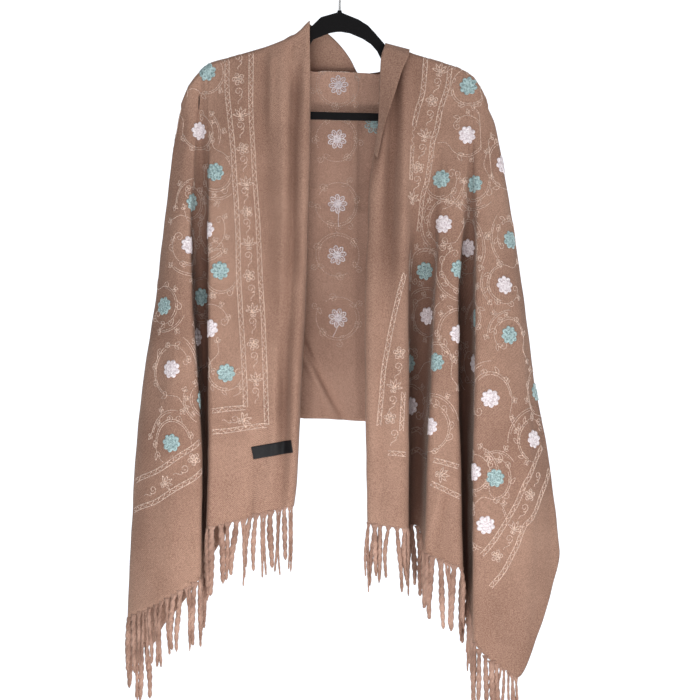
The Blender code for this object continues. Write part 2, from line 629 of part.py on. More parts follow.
def hanger_hook(finish):
    """A wire hook like a question mark: up from the arch, round over the rail, and down to its tip."""
    wire = HOOK_WIRE / 2
    radius = HOOK_RADIUS + wire
    centre_drop = HOOK_RADIUS
    foot = HANGER_OUTER[HOOK_FOOT][1] - SEAM_GAP
    neck = foot - HOOK_STRAIGHT
    points = [(0.0, foot), (0.0, neck)]
    start = (radius * math.cos(HOOK_BOWL_START), centre_drop - radius * math.sin(HOOK_BOWL_START))
    for k in range(1, HOOK_NECK_STEPS):
        s = k / HOOK_NECK_STEPS
        low = (1 - s) ** 2
        mid = 2 * s * (1 - s)
        points.append((s * s * start[0], low * neck + mid * (start[1] + HOOK_LEAN) + s * s * start[1]))
    for k in range(HOOK_BOWL_STEPS + 1):
        angle = HOOK_BOWL_START + HOOK_BOWL_SWEEP * k / HOOK_BOWL_STEPS
        points.append((radius * math.cos(angle), centre_drop - radius * math.sin(angle)))
    curve = bpy.data.curves.new("hanger_hook", "CURVE")
    curve.dimensions = "3D"
    curve.bevel_depth = wire * MM
    curve.bevel_resolution = 2
    curve.use_fill_caps = True
    spline = curve.splines.new("POLY")
    spline.points.add(len(points) - 1)
    for point, (x, drop) in zip(spline.points, points):
        point.co = (x * MM, 0, -drop * MM, 1)
    curve.materials.append(finish)
    hook = bpy.data.objects.new("hanger_hook", curve)
    bpy.context.scene.collection.objects.link(hook)
    return hook


def shawl():
    """The cloth in its pieces, with its nape, its turned collar, its fringes and its label."""
    left, left_places = rails_of(LEFT_FRONT, -1)
    back, back_places = rails_of(BACK, 1)
    right, right_places = rails_of(RIGHT_FRONT, -1)
    rails = left + back + right[::-1]
    side_left, side_right = len(left) - 1, len(left) + len(back)
    for side in (side_left, side_right):
        rails[side][:len(ROLL_ANGLES), 1] = 0.0
    columns, starts = cloth_columns(rails)
    turned, first_back, first_right = len(ROLL_ANGLES), starts[side_left], starts[side_right]
    nearest = SEAM_GAP / 2
    for front in (columns[:first_back], columns[first_right + 1:]):
        front[:, :turned, 1] = np.minimum(front[:, :turned, 1], -nearest)
    behind = columns[first_back + 1:first_right]
    behind[:, :turned, 1] = np.maximum(behind[:, :turned, 1], nearest)
    grid = to_world(columns)
    normals = surface_normals(grid)
    normals[:, 0, 1] = np.where(np.abs(grid[:, 0, 1]) < MM, 0.0, normals[:, 0, 1])
    normals[:, 0] /= np.linalg.norm(normals[:, 0], axis=1, keepdims=True)
    for side in (first_back, first_right):
        normals[side, :, 1] = 0.0
        normals[side] /= np.linalg.norm(normals[side], axis=1, keepdims=True)

    gaps = half_gaps(grid, normals, ((first_back, 1), (first_right, -1)))
    made, first = {}, 0
    for name, table, row in PIECES:
        if table == "left":
            last = starts[left_places[row]]
        elif table == "back":
            last = starts[len(left) + back_places[row]]
        else:
            last = starts[len(rails) - 1 - right_places[row]]
        wool = material(name.replace("shawl", "wool"), WOOL_COLOUR, 0.9)
        piece = part_of_cloth(grid, gaps, first, last)
        made[name] = wall_object(name, piece, normals[first:last + 1], WALL, wool)
        first = last

    square = np.cross(normals[:, -1], np.gradient(grid[:, -1], axis=0))
    square /= np.linalg.norm(square, axis=1, keepdims=True)
    along_column = grid[:, -1] - grid[:, -2]
    along_column /= np.linalg.norm(along_column, axis=1, keepdims=True)
    square *= np.sign(np.sum(square * along_column, axis=1, keepdims=True))
    down = along_column + SQUARE_SHARE * (square - along_column)
    left_end = starts[len(left) + back_places[LEFT_CORNER]]
    right_end = starts[len(rails) - 1 - right_places[RIGHT_CORNER]]
    fringed = (
        (0, left_end, "fringe_left", LEFT_SEED), (right_end, len(grid) - 1, "fringe_right", RIGHT_SEED),
    )
    for first, last, name, seed in fringed:
        part = slice(first, last + 1)
        yarn = material(name + "_yarn", YARN_COLOUR, 0.95)
        strip_with_strands(name, grid[part, -1], normals[part, -1], down[part], yarn, seed)

    nape_flap(material("wool_nape", NAPE_COLOUR, 0.9))
    collar_turnover(material("wool_collar", WOOL_COLOUR, 0.9))
    label(made[LABELLED], material("black_satin", SATIN_COLOUR, 0.35))


def hanger():
    """The body with its arch and arms, the bar and the hook."""
    hanger_body(material("flocked_body", FLOCK_COLOUR, 0.95))
    hanger_bar(material("flocked_bar", FLOCK_COLOUR, 0.95))
    hanger_hook(material("hook_steel", STEEL_COLOUR, 0.25, 1.0))


def main():
    for old in list(bpy.data.objects):
        bpy.data.objects.remove(old, do_unlink=True)
    shawl()
    hanger()


main()
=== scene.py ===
# %% [markdown]
# # A fringed, embroidered wool shawl on a flocked hanger
# The real thing is one rectangle of fine brown wool twill, hung open-fronted over a black flocked clothes
# hanger. Its long way runs from one hanging end, round the shoulders, to the other, and it falls in deep
# folds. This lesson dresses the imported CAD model: it keeps its hanger, and replaces its cloth, fringe and
# label with finer pieces of the same form.

# %% Load the frame
import bisect
import math
import random

import bmesh
import bpy
import numpy as np
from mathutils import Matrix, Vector
from mathutils.bvhtree import BVHTree
from mathutils.kdtree import KDTree


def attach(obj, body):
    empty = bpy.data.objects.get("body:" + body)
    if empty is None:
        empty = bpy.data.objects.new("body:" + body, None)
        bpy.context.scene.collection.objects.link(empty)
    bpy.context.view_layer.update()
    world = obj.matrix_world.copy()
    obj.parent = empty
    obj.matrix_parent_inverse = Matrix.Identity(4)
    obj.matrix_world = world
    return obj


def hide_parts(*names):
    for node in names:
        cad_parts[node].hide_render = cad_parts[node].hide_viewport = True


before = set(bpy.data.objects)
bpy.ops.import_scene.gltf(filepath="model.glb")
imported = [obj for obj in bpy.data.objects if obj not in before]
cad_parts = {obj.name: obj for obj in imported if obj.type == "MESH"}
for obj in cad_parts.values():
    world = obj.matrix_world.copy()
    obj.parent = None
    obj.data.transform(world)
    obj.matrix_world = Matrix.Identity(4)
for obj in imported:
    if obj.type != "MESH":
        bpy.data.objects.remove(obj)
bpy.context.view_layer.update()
for loaded in bpy.context.selected_objects:
    loaded.select_set(False)
MM = 0.001
BODY = "root"
print("CAD nodes:", ", ".join(sorted(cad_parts)))

# %% [markdown]
# ## The camera
# The photograph was taken from straight in front, a few metres away, with the shawl filling the frame. A
# camera 4 m off with a long lens gives the same flat look. It comes first, because the embroidery is placed
# by where each flower is seen in the picture.

# %% Camera
CAMERA_PLACE = (0.0147, -4.035, -0.5578)
CAMERA_LENS = 147.5
SENSOR = 36.0
FRAME_PX = 700

bpy.ops.object.camera_add(location=CAMERA_PLACE, rotation=(math.radians(90), 0, 0))
camera = bpy.context.object
camera.name = "camera"
camera.data.lens = CAMERA_LENS
camera.data.sensor_width = SENSOR
camera.data.clip_end = 30
bpy.context.scene.camera = camera


def ray_of_pixel(px, py):
    """The direction in which the camera sees a pixel of the 700 by 700 frame."""
    half = SENSOR / 2 / CAMERA_LENS
    return Vector(((px / FRAME_PX * 2 - 1) * half, 1.0, (1 - py / FRAME_PX * 2) * half)).normalized()


print("camera", CAMERA_LENS, "mm lens, at", CAMERA_PLACE)

# %% [markdown]
# ## The folds of the cloth
# Cloth like this could be simulated, but the photograph shows each fold, and a simulation would put them
# elsewhere. So the folds are drawn one by one. Each row below is one fold line: where it starts on the hanger,
# where it passes at five heights, and where it ends at the hem. "Drop" is the distance in millimetres below
# the inside top of the hook. A "deep" row is the bottom of a valley, and gets two steep walls.

# %% Fold tables
WALL = 2.0  # the CAD wall, whose middle the lines follow
SEAM_GAP = 0.5  # between the two layers at the hanger's edge
LEVELS = (240, 360, 490, 600, 710)
SHOULDER_ROLL = (6.8, 6.0)  # depth and height of the turn over the hanger's edge
NAPE_ROLL = (0.0, 12.0)
ARM_END_ROUND = 12.0
NAPE_FOLD_Y = 12.0

# The top edge of the cloth over the hanger's arms, as X and drop
LEFT_SHOULDER = (
    (-222.5, 211), (-211.5, 184.5), (-194.5, 163.5), (-180.5, 153.5), (-151, 145), (-101, 130),
    (-85, 125), (-68.5, 116), (-61.5, 114), (-50.5, 102), (-42, 94),
)
RIGHT_SHOULDER = (
    (66, 130), (99.5, 139.5), (143, 152.5), (168, 160.5), (189, 173.5), (200, 191), (208.5, 212),
)

# The folded top edge of the back, between the shoulders
NAPE_LINE = ((-53, 142), (-42, 163.5), (57, 168), (71, 146))

# Each fold: kind, X at the shoulder, X at the five LEVELS, X at the hem, the hem's drop,
# then Y at the five LEVELS and at the hem. None is a level below that fold's hem.
# Kinds: "edge" or "fold" is a line that the cloth passes through, and "deep" is the bottom of a valley
# whose two walls are made from it and its neighbours.
LEFT_FRONT = (
    ("edge", -42, (-41, -43.5, -47, -53, -59.5), -66, 774, (-16, -20, -28, -34, -38), -40),
    ("fold", -47.5, (-48.5, -50, -54, -60, -66), -72, 776, (-23, -28, -36, -42, -46), -47),
    ("fold", -56, (-64, -64, -67, -74, -80), -85, 779, (-10, -15, -25, -34, -41), -43),
    ("fold", -67, (-77, -78.5, -82.5, -88, -95), -102, 784, (-22, -28, -36, -42, -46), -48),
    ("fold", -101, (-106.5, -106.5, -107, -111, -116), -122, 789, (-9, -14, -23, -31, -37), -39),
    ("fold", -133, (-136, -133, -129, -129, -134.5), -141, 795, (-17, -25, -36, -44, -48), -48),
    ("fold", -157, (-162, -157, -154, -154, -157), -161, 800, (-16, -26, -39, -47, -51), -51),
    ("fold", -180.5, (-182, -182, -180.5, -180.5, -180.5), -183.5, 806, (-12, -26, -42, -48, -52), -52),
    ("deep", -190.5, (-192, -195, -194.5, -190, -186.5), -187.5, 835, (-9, -4, 3, 4, 2), -8),
    ("fold", -199, (-201.5, -210, -206.5, -199, -192.5), -194, 876, (-12, -24, -38, -46, -52), -54),
    ("fold", -204.5, (-210, -221, -227, -228, -225.5), -222.5, 893, (-11, -25, -40, -50, -56), -58),
    ("fold", -213, (-220, -234, -245, -252, -255), -256, 913, (-7, -17, -28, -36, -42), -45),
    ("fold", -222.5, (-227.5, -243.5, -258.5, -275, -286), -297.5, 939, (0, -1, -3, -5, -7), -9),
)

BACK = (
    ("fold", -220, (-225, -239, -252, -266, -274), -267.5, 974, (7, 13, 18, 20, 18), 8),
    ("fold", -210, (-217, -227, -235, -241, -245), -248, 946, (13, 26, 36, 40, 38), 30),
    ("fold", -196, (-204, -210, -214, -215.5, -215.5), -214, 904, (12, 16, 19, 20, 19), 18),
    ("fold", -175, (-185, -187.5, -189, -187.5, -183.5), -178, 845, (18, 34, 46, 52, 50), 46),
    ("fold", -147, (-157, -158, -157, -154, -148), -143, 785, (14, 16, 19, 21, 21), 21),
    ("fold", -117.5, (-126, -127.5, -126, -120.5, None), -109, 729, (20, 36, 46, 52, None), 52),
    ("fold", -87, (-94, -94, -92.5, -87, None), -78.5, 680, (14, 17, 20, 22, None), 22),
    ("fold", -61.5, (-61.5, -60, -59, -57.5, None), -57.5, 655, (16, 23, 30, 32, None), 32),
    ("nape", -53, (-52, -52, -51, -49, None), -49, 655, (15, 22, 29, 30, None), 30),
    ("nape", -42, (-41, -40, -39, -36, None), -35, 655, (14, 20, 26, 27, None), 27),
    ("nape", -17, (-17, -17, -17, -17, None), -17, 655.5, (14, 22, 30, 31, None), 31),
    ("nape", 3, (3, 3, 3, 3, None), 3, 656.5, (13, 20, 27, 29, None), 29),
    ("nape", 21, (21, 21, 21, 21, None), 21, 658, (12, 18, 24, 25, None), 25),
    ("nape", 39, (39, 39, 39, 39, None), 39, 659, (14, 21, 29, 31, None), 31),
    ("nape", 57, (59, 60, 61, 62, None), 62, 661, (14, 20, 26, 28, None), 28),
    ("nape", 71, (71, 72, 73, 74, None), 75, 665, (15, 21, 26, 28, None), 28),
    ("fold", 82, (84, 86, 88, 89, None), 91, 672, (16, 22, 27, 28, None), 28),
    ("fold", 109, (112, 113, 114, 115, None), 117.5, 693, (20, 37, 48, 53, None), 52),
    ("fold", 134, (138, 141, 144, 146, None), 150, 717, (14, 17, 19, 21, None), 21),
    ("fold", 157, (162, 168, 173, 178, None), 185, 738, (18, 35, 48, 53, None), 50),
    ("fold", 173.5, (182, 192, 202, 210, None), 220, 757, (13, 16, 18, 20, None), 20),
    ("fold", 186, (196, 212, 228, 240, None), 255, 777, (15, 30, 40, 44, None), 42),
    ("fold", 200, (208, 227, 246, 261, 276), 284, 796, (8, 15, 19, 21, 21), 19),
)

RIGHT_FRONT = (
    ("edge", 67, (55, 40.5, 46, 54.5, 59), 61.5, 802, (-17, -24, -34, -37, -39), -41),
    ("fold", 70, (59.5, 44, 36, 36.5, 38), 39, 798, (-21, -30, -46, -51, -54), -55),
    ("fold", 75, (65, 52.5, 47, 47, 48), 50, 800, (-24, -33, -54, -59, -61), -61),
    ("fold", 84, (78.5, 70.5, 66, 65, 66), 67, 802.5, (-13, -22, -39, -47, -52), -55),
    ("fold", 99.5, (96.5, 89.5, 84, 83.5, 83.5), 84, 805, (-21, -35, -51, -57, -60), -61),
    ("fold", 117.5, (112, 99.5, 95, 95, 95), 95, 806, (-15, -28, -43, -49, -52), -53),
    ("deep", 137, (136, 122, 113.5, 111.5, 109), 107.5, 804, (-12, -16, -3, 1, 1), -3),
    ("fold", 154, (157, 144, 134.5, 129.5, 124), 120.5, 841, (-14, -27, -41, -47, -51), -52),
    ("fold", 164, (168, 159.5, 150, 147, 147), 147, 852, (-15, -31, -47, -53, -56), -57),
    ("fold", 172, (178, 173.5, 164.5, 164, 167), 170, 862, (-13, -27, -40, -46, -51), -53),
    ("deep", 178, (186, 183.5, 177, 175.5, 177.5), 178.5, 897, (-12, -14, -2, 2, 2), -3),
    ("fold", 183, (193, 193, 191, 190.5, 187.5), 187, 964, (-12, -26, -43, -51, -57), -59),
    ("fold", 188, (201.5, 208.5, 211.5, 211.5, 208.5), 207, 986, (-11, -28, -47, -55, -61), -61),
    ("fold", 193.5, (208, 223, 235, 236.5, 235), 231, 1002, (-10, -21, -37, -47, -53), -53),
    ("fold", 198.5, (212.5, 233, 250, 259, 263), 249, 1013, (-9, -14, -24, -33, -41), -45),
    ("fold", 202.5, (215.4, 237, 256, 268.5, 281.5), 276, 957, (-7, -8, -13, -19, -25), -31),
    ("fold", 206, (216.4, 238.5, 257.8, 272, 289.5), 297, 893, (-4, -4, -7, -11, -15), -19),
    ("fold", 208.5, (216.5, 238.7, 258.2, 273, 293), 308, 835, (0, 0, -1, -3, -5), -7),
)

# The walls of a deep valley, from the ridge beside it (0) to its bottom (1): across, and in depth.
# A valley shallower than STEEP_FROM has walls that slope evenly.
VALLEY_WALL = ((0.02, 0.35), (0.28, 0.85))
STEEP_FROM = 22.0

# The nape flap: across (X, Y, drop) at its upper edge and at its lower, hidden edge
NAPE_FLAP = (
    ((-43.5, 1.5, 97), (-56, 1.5, 109)),
    ((-40, 9, 100), (-56, 12, 124)),
    ((-28, 12, 104), (-50, 18, 150)),
    ((-15.4, 14, 112), (-36, 20, 174)),
    ((3, 16, 130), (-8, 20.5, 186)),
    ((16.8, 18, 149.6), (12, 21, 192)),
    ((24, 19, 164), (22, 21, 192)),
    ((33, 20, 176), (31, 21, 194)),
)

# The turned-over collar: the folded line and the free edge, as X, Y and drop, from the nape over the
# right shoulder to where it dies out on the front
COLLAR_FOLD = (
    (42, 17, 167), (58, 18, 164), (66, 17, 149), (66.5, 11, 134), (64.5, 0, 126.5), (63, -10, 132),
    (58, -15, 150), (56, -20, 200), (54.5, -22, 240), (48.5, -24, 282),
)
COLLAR_EDGE = (
    (46, 19, 190), (68, 21, 196), (87, 21, 181), (96, 18, 156), (98.5, 0, 135.5), (97, -18, 145),
    (88, -24, 166), (74, -30, 210), (64, -30, 240), (53, -29, 290),
)

print(len(LEFT_FRONT), "folds on the left front,", len(BACK), "behind and", len(RIGHT_FRONT), "on the right")

# %% [markdown]
# ## From fold lines to a surface
# A smooth cubic runs down each fold line, and another runs across from line to line. The first never
# overshoots the heights in the table. The second is a centripetal Catmull-Rom curve, which stays round on
# the ridges and doesn't loop in the narrow valleys.

# %% Curves through the lines
FULL_TURN = 6.2832


def run_along(points):
    """How far each point of a line is from the first, along the line."""
    return np.concatenate([[0], np.cumsum(np.linalg.norm(np.diff(points, axis=0), axis=1))])


def unit(vectors):
    """The same vectors one unit long."""
    return vectors / np.maximum(np.linalg.norm(vectors, axis=-1, keepdims=True), 1e-12)


def hermite(one, leave, two, arrive, s):
    """The cubic from one to two with these slopes at its ends, a share s of the way along."""
    return (
        one * (1 + 2 * s) * (1 - s) ** 2 + leave * s * (1 - s) ** 2
        + two * s * s * (3 - 2 * s) + arrive * s * s * (s - 1)
    )


def smooth_slopes(t, f):
    """Slopes for a cubic through the points that never overshoots them."""
    step = np.diff(t)
    rise = np.diff(f, axis=0) / step[:, None]
    slopes = np.empty_like(f)
    slopes[0], slopes[-1] = rise[0], rise[-1]
    for i in range(1, len(t) - 1):
        before, after = rise[i - 1], rise[i]
        same_way = before * after > 0
        mean = 2 * before * after / np.where(same_way, before + after, 1.0)
        slopes[i] = np.where(same_way, mean, 0.0)
    return slopes


def cubic(t, f, slopes, at):
    """The cubic through (t, f) with these slopes, read at each value of at."""
    rows = []
    for value in at:
        i = min(max(bisect.bisect_right(t, value) - 1, 0), len(t) - 2)
        h = t[i + 1] - t[i]
        s = (value - t[i]) / h
        rows.append(hermite(f[i], slopes[i] * h, f[i + 1], slopes[i + 1] * h, s))
    return np.array(rows)


def curve_through(points, count):
    """This many points, evenly spread along a smooth curve through the given ones."""
    table = np.array(points, float)
    t = np.arange(len(table), dtype=float)
    return cubic(list(t), table, smooth_slopes(t, table), np.linspace(0, len(table) - 1, count))


def along(points, x):
    """The second column of points at x, straight between them."""
    table = np.array(sorted(points), float)
    return float(np.interp(x, table[:, 0], table[:, 1]))


# %% Fold lines at a fine spacing
ROLL_ANGLES = (0, 12, 24, 37, 50, 63, 76, 90)
ROWS_BELOW_ROLL = 98
COLUMN_STEP = 5.2  # widest step between two columns, in mm


def fold_line(row, side):
    """The points of one fold line in millimetres, down the cloth; side is -1 in front and 1 behind."""
    kind, shoulder_x, level_x, hem_x, hem_drop, level_y, hem_y = row
    if kind == "nape":
        top_drop = along(NAPE_LINE, shoulder_x)
        roll_depth, roll_height = NAPE_ROLL
        top_y, turn = NAPE_FOLD_Y, -1
    else:
        top_drop = along(LEFT_SHOULDER if shoulder_x < 0 else RIGHT_SHOULDER, shoulder_x) + WALL / 2
        roll_depth, roll_height = SHOULDER_ROLL
        to_end = (LEFT_SHOULDER[0][0] - shoulder_x) if shoulder_x < 0 else (shoulder_x - RIGHT_SHOULDER[-1][0])
        roll_depth *= math.sqrt(min(1.0, abs(to_end) / ARM_END_ROUND))
        top_y, turn = side * SEAM_GAP / 2, side
    turned = []
    for degrees in ROLL_ANGLES:
        angle = math.radians(degrees)
        turned.append((
            shoulder_x, top_y + turn * roll_depth * math.sin(angle), top_drop + roll_height * (1 - math.cos(angle))
        ))
    start = turned[-1]
    knots = [(start[2], start[0], start[1])]
    for drop, x, y in zip(LEVELS, level_x, level_y):
        if x is not None and drop > start[2] + 10:
            knots.append((drop, x, y))
    knots.append((hem_drop, hem_x, hem_y))
    table = np.array(knots, float)
    t, f = list(table[:, 0]), table[:, 1:]
    drops = start[2] + (hem_drop - start[2]) * np.arange(1, ROWS_BELOW_ROLL + 1) / ROWS_BELOW_ROLL
    lower = cubic(t, f, smooth_slopes(table[:, 0], f), drops)
    return np.vstack([np.array(turned), np.column_stack([lower, drops])])


def valley_walls(ridge, bottom):
    """Fold lines down one wall of a deep valley, from the ridge beside it to its bottom."""
    drop_in = np.abs(bottom[:, 1:2] - ridge[:, 1:2])
    steep = np.clip(drop_in / STEEP_FROM, 0, 1) ** 2
    walls = []
    for k, (across, deep) in enumerate(VALLEY_WALL):
        even = (k + 1) / (len(VALLEY_WALL) + 1)
        share = even + steep * (np.array([across, deep, (across + deep) / 2]) - even)
        walls.append(ridge + (bottom - ridge) * share)
    return walls


def rails_of(rows, side):
    """All the fold lines of one table, with the walls of its deep valleys, and the index of each row."""
    lines = [fold_line(row, side) for row in rows]
    rails, places = [], []
    for i, row in enumerate(rows):
        if row[0] == "deep":
            rails += valley_walls(lines[i - 1], lines[i])
            places.append(len(rails))
            rails.append(lines[i])
            rails += valley_walls(lines[i + 1], lines[i])[::-1]
        else:
            places.append(len(rails))
            rails.append(lines[i])
    return rails, places


def between(rails, i, fraction):
    """The column a fraction of the way from rail i to the next, on a smooth curve through the rails."""
    one, two = rails[i], rails[i + 1]
    if fraction == 0:
        return one
    before = rails[i - 1] if i > 0 else 2 * one - two
    after = rails[i + 2] if i + 2 < len(rails) else 2 * two - one

    def spacing(a, b):
        return np.maximum(np.linalg.norm(b - a, axis=1, keepdims=True), 0.5) ** 0.5

    first, middle, last = spacing(before, one), spacing(one, two), spacing(two, after)
    leave = middle * ((one - before) / first - (two - before) / (first + middle) + (two - one) / middle)
    arrive = middle * ((two - one) / middle - (after - one) / (middle + last) + (after - two) / last)
    return hermite(one, leave, two, arrive, fraction)


# %% The whole cloth as one grid
def cloth_grid():
    """Columns of points in millimetres, from the left lapel round the back to the right lapel."""
    left, back, right = rails_of(LEFT_FRONT, -1)[0], rails_of(BACK, 1)[0], rails_of(RIGHT_FRONT, -1)[0]
    rails = left + back + right[::-1]
    sides = (len(left) - 1, len(left) + len(back))
    for side in sides:
        rails[side][:len(ROLL_ANGLES), 1] = 0.0
    columns, starts = [], []
    for i in range(len(rails) - 1):
        starts.append(len(columns))
        widest = np.linalg.norm(rails[i + 1] - rails[i], axis=1).max()
        steps = max(1, math.ceil(widest / COLUMN_STEP))
        columns += [between(rails, i, k / steps) for k in range(steps)]
    starts.append(len(columns))
    columns.append(rails[-1])
    return np.array(columns), starts[sides[0]], starts[sides[1]], starts


cloth, left_side, right_side, rail_columns = cloth_grid()
PANELS = {"left": (0, left_side), "back": (left_side, right_side), "right": (right_side, len(cloth) - 1)}
print("grid of", cloth.shape[0], "columns and", cloth.shape[1], "rows")

# %% [markdown]
# ## Small creases
# Between the main folds the real cloth has soft troughs, a packing crease down the back, the ridge of a
# pleat, and slight waves everywhere. Each crease is a line on one panel with its own width and height, and it
# fades at both ends, so that no two are alike.

# %% Creases and waves
CREASES = (
    # panel, from X and drop, to X and drop, half width, height (minus is a trough)
    ("left", (-73, 80), (-60, 240), 6, -4.5),
    ("left", (-96, 60), (-95, 260), 5, 7.5),
    ("left", (-82, 60), (-84, 250), 7, 5.0),
    ("left", (-106, 100), (-110, 290), 5, -2.5),
    ("left", (-198, 160), (-195, 340), 8, -5.0),
    ("left", (-57, 210), (-59, 420), 6, 4.0),
    ("left", (-62, 340), (-68, 860), 8, 6.0),
    ("left", (-90, 450), (-70, 750), 10, -6.0),
    ("left", (-106, 330), (-121, 930), 12, 8.5),
    ("left", (-76, 412), (-52, 450), 4, -1.8),
    ("left", (-70, 408), (-48, 436), 3, 1.3),
    ("left", (-182, 300), (-150, 420), 11, -1.4),
    ("left", (-210, 150), (-176, 330), 12, -2.0),
    ("left", (-196, 290), (-208, 330), 5, 1.6),
    ("left", (-236, 420), (-250, 640), 12, -1.8),
    ("left", (-225, 330), (-262, 600), 9, 1.2),
    ("left", (-208, 690), (-270, 800), 14, -1.6),
    ("left", (-150, 640), (-168, 790), 9, -1.0),
    ("right", (66, 430), (67, 930), 10, 8.5),
    ("right", (58, 480), (52, 900), 9, -2.0),
    ("right", (72, 140), (70, 450), 6, -4.5),
    ("right", (90, 70), (88, 450), 7, 5.0),
    ("right", (107, 70), (100, 330), 8, -6.5),
    ("right", (158, 725), (128, 840), 4.5, -5.5),
    ("right", (149, 725), (119, 840), 5, 3.0),
    ("right", (130, 700), (160, 790), 10, -1.4),
    ("right", (215, 520), (205, 820), 13, -1.8),
    ("right", (236, 560), (262, 800), 12, 1.5),
    ("right", (262, 560), (285, 740), 10, -1.6),
    ("right", (196, 840), (240, 960), 11, -1.6),
    ("right", (205, 300), (222, 480), 9, -1.4),
    ("right", (150, 170), (190, 330), 10, -1.2),
    ("back", (21, 110), (21.5, 440), 3.2, -4.6),
    ("back", (18, 400), (24, 680), 4, -0.9),
    ("back", (-80, 330), (100, 331), 4, -2.6),
    ("back", (-80, 352), (100, 354), 4, 2.6),
    ("back", (-92, 472), (34, 708), 4.5, 6.0),
    ("back", (-98, 478), (26, 712), 4.5, -5.0),
    ("back", (-30, 260), (-26, 420), 9, -1.4),
    ("back", (-200, 330), (-150, 560), 14, -1.8),
    ("back", (-230, 600), (-200, 860), 12, 1.6),
    ("back", (110, 260), (160, 600), 13, -1.7),
    ("back", (200, 400), (240, 700), 12, 1.6),
)
WAVE_HEIGHT = 0.45
WAVE_ROW = 60  # the row along which the waves are measured off


def grid_normals(grid):
    """Unit normals at the points of a grid, out of the garment's right side; rows run down."""
    across, down = np.gradient(grid, axis=0), np.gradient(grid, axis=1)
    return unit(np.cross(across, down))


def to_world(points):
    """(X, Y, drop) in millimetres to metres with Z up."""
    return np.stack([points[..., 0], points[..., 1], -points[..., 2]], axis=-1) * MM


def crease_heights(grid):
    """How far each point of the cloth stands out for the creases and waves, in millimetres."""
    x, drop = grid[..., 0], grid[..., 2]
    height = np.zeros(x.shape)
    for panel, (x1, d1), (x2, d2), half_width, tall in CREASES:
        first, last = PANELS[panel]
        part = slice(first, last + 1)
        way = np.array([x2 - x1, d2 - d1], float)
        length = np.linalg.norm(way)
        way /= length
        run = (x[part] - x1) * way[0] + (drop[part] - d1) * way[1]
        off = (x[part] - x1) * way[1] - (drop[part] - d1) * way[0]
        ends = np.clip(np.minimum(run, length - run) / (0.35 * length) + 0.15, 0, 1)
        height[part] += tall * ends * ends * (3 - 2 * ends) * np.exp(-((off / half_width) ** 2))
    chance = random.Random(11)
    reach = run_along(grid[:, WAVE_ROW])[:, None]
    for _ in range(9):
        wave, turn = chance.uniform(34, 110), chance.uniform(-0.9, 0.9)
        phase = chance.uniform(0, 6.28)
        height += WAVE_HEIGHT / 3 * np.sin(6.28 / wave * (reach * math.cos(turn) + drop * math.sin(turn)) + phase)
    fade = np.clip((drop - drop[:, :1] - 6) / 16, 0, 1)
    return height * fade


def calm_directions(grid):
    """Normals averaged over neighbouring columns, so that a ridge in a hollow doesn't bunch the columns."""
    out = grid_normals(to_world(grid))
    for _ in range(2):
        wide = np.pad(out, ((3, 3), (0, 0), (0, 0)), mode="edge")
        out = unit(sum(wide[k:k + len(out)] for k in range(7)))
    return out * np.array([1, 1, -1])


cloth = cloth + calm_directions(cloth) * crease_heights(cloth)[..., None]
surface = to_world(cloth)
normals = grid_normals(surface)
for side in (left_side, right_side):
    normals[side, :, 1] *= 0.2  # a side fold faces sideways
    normals[side] = unit(normals[side])
print("creases:", len(CREASES))

# %% [markdown]
# ## The cloth shell
# The cloth is one closed shell, a little over a millimetre thick, so that its edges show a real rim. Its UV
# map is laid out in metres on the flat cloth, so that the weave keeps one scale over every fold. The inner
# face is the cloth's wrong side and gets a material of its own.

# %% Shell from a grid
CLOTH_THICK = 1.4


def mesh_of(name, points, faces, slots=None, uv=None):
    """A smooth mesh object from arrays; uv holds one pair for each corner of each face."""
    mesh = bpy.data.meshes.new(name)
    mesh.from_pydata(points.tolist(), [], faces.tolist() if hasattr(faces, "tolist") else faces)
    if slots is not None:
        mesh.polygons.foreach_set("material_index", np.asarray(slots, np.int32))
    if uv is not None:
        mesh.uv_layers.new(name="flat")
        mesh.uv_layers["flat"].uv.foreach_set("vector", np.asarray(uv, np.float32).ravel())
    mesh.shade_smooth()
    mesh.update()
    made = bpy.data.objects.new(name, mesh)
    bpy.context.scene.collection.objects.link(made)
    return made


def face_outwards(piece, merge=0.0):
    """Turns all faces outwards, once points closer than merge metres are joined."""
    shape = bmesh.new()
    shape.from_mesh(piece.data)
    if merge:
        bmesh.ops.remove_doubles(shape, verts=shape.verts[:], dist=merge)
    bmesh.ops.recalc_face_normals(shape, faces=shape.faces[:])
    shape.to_mesh(piece.data)
    shape.free()


def shell_from(name, grid, out, thick, flat):
    """A closed wall round a grid of points, with slot 0 on the right side and rim and slot 1 inside."""
    columns, rows = grid.shape[:2]
    half = out * thick * MM / 2
    points = np.concatenate([(grid + half).reshape(-1, 3), (grid - half).reshape(-1, 3)])
    inner = columns * rows
    c, r = np.meshgrid(np.arange(columns - 1), np.arange(rows - 1), indexing="ij")
    a = (c * rows + r).ravel()
    b = a + rows
    outside = np.stack([a, b, b + 1, a + 1], axis=1)
    inside = np.stack([a, a + 1, b + 1, b], axis=1) + inner
    rims = []
    for column, turned in ((0, False), (columns - 1, True)):
        a = column * rows + np.arange(rows - 1)
        rim = np.stack([a, a + 1, inner + a + 1, inner + a], axis=1)
        rims.append(rim[:, ::-1] if turned else rim)
    for row, turned in ((0, True), (rows - 1, False)):
        a = np.arange(columns - 1) * rows + row
        b = a + rows
        rim = np.stack([a, b, inner + b, inner + a], axis=1)
        rims.append(rim if turned else rim[:, ::-1])
    faces = np.concatenate([outside, inside, *rims])
    slots = np.zeros(len(faces), int)
    slots[len(outside):len(outside) + len(inside)] = 1
    uv = flat.reshape(-1, 2)[faces % inner]
    made = mesh_of(name, points, faces, slots, uv)
    face_outwards(made)
    return made


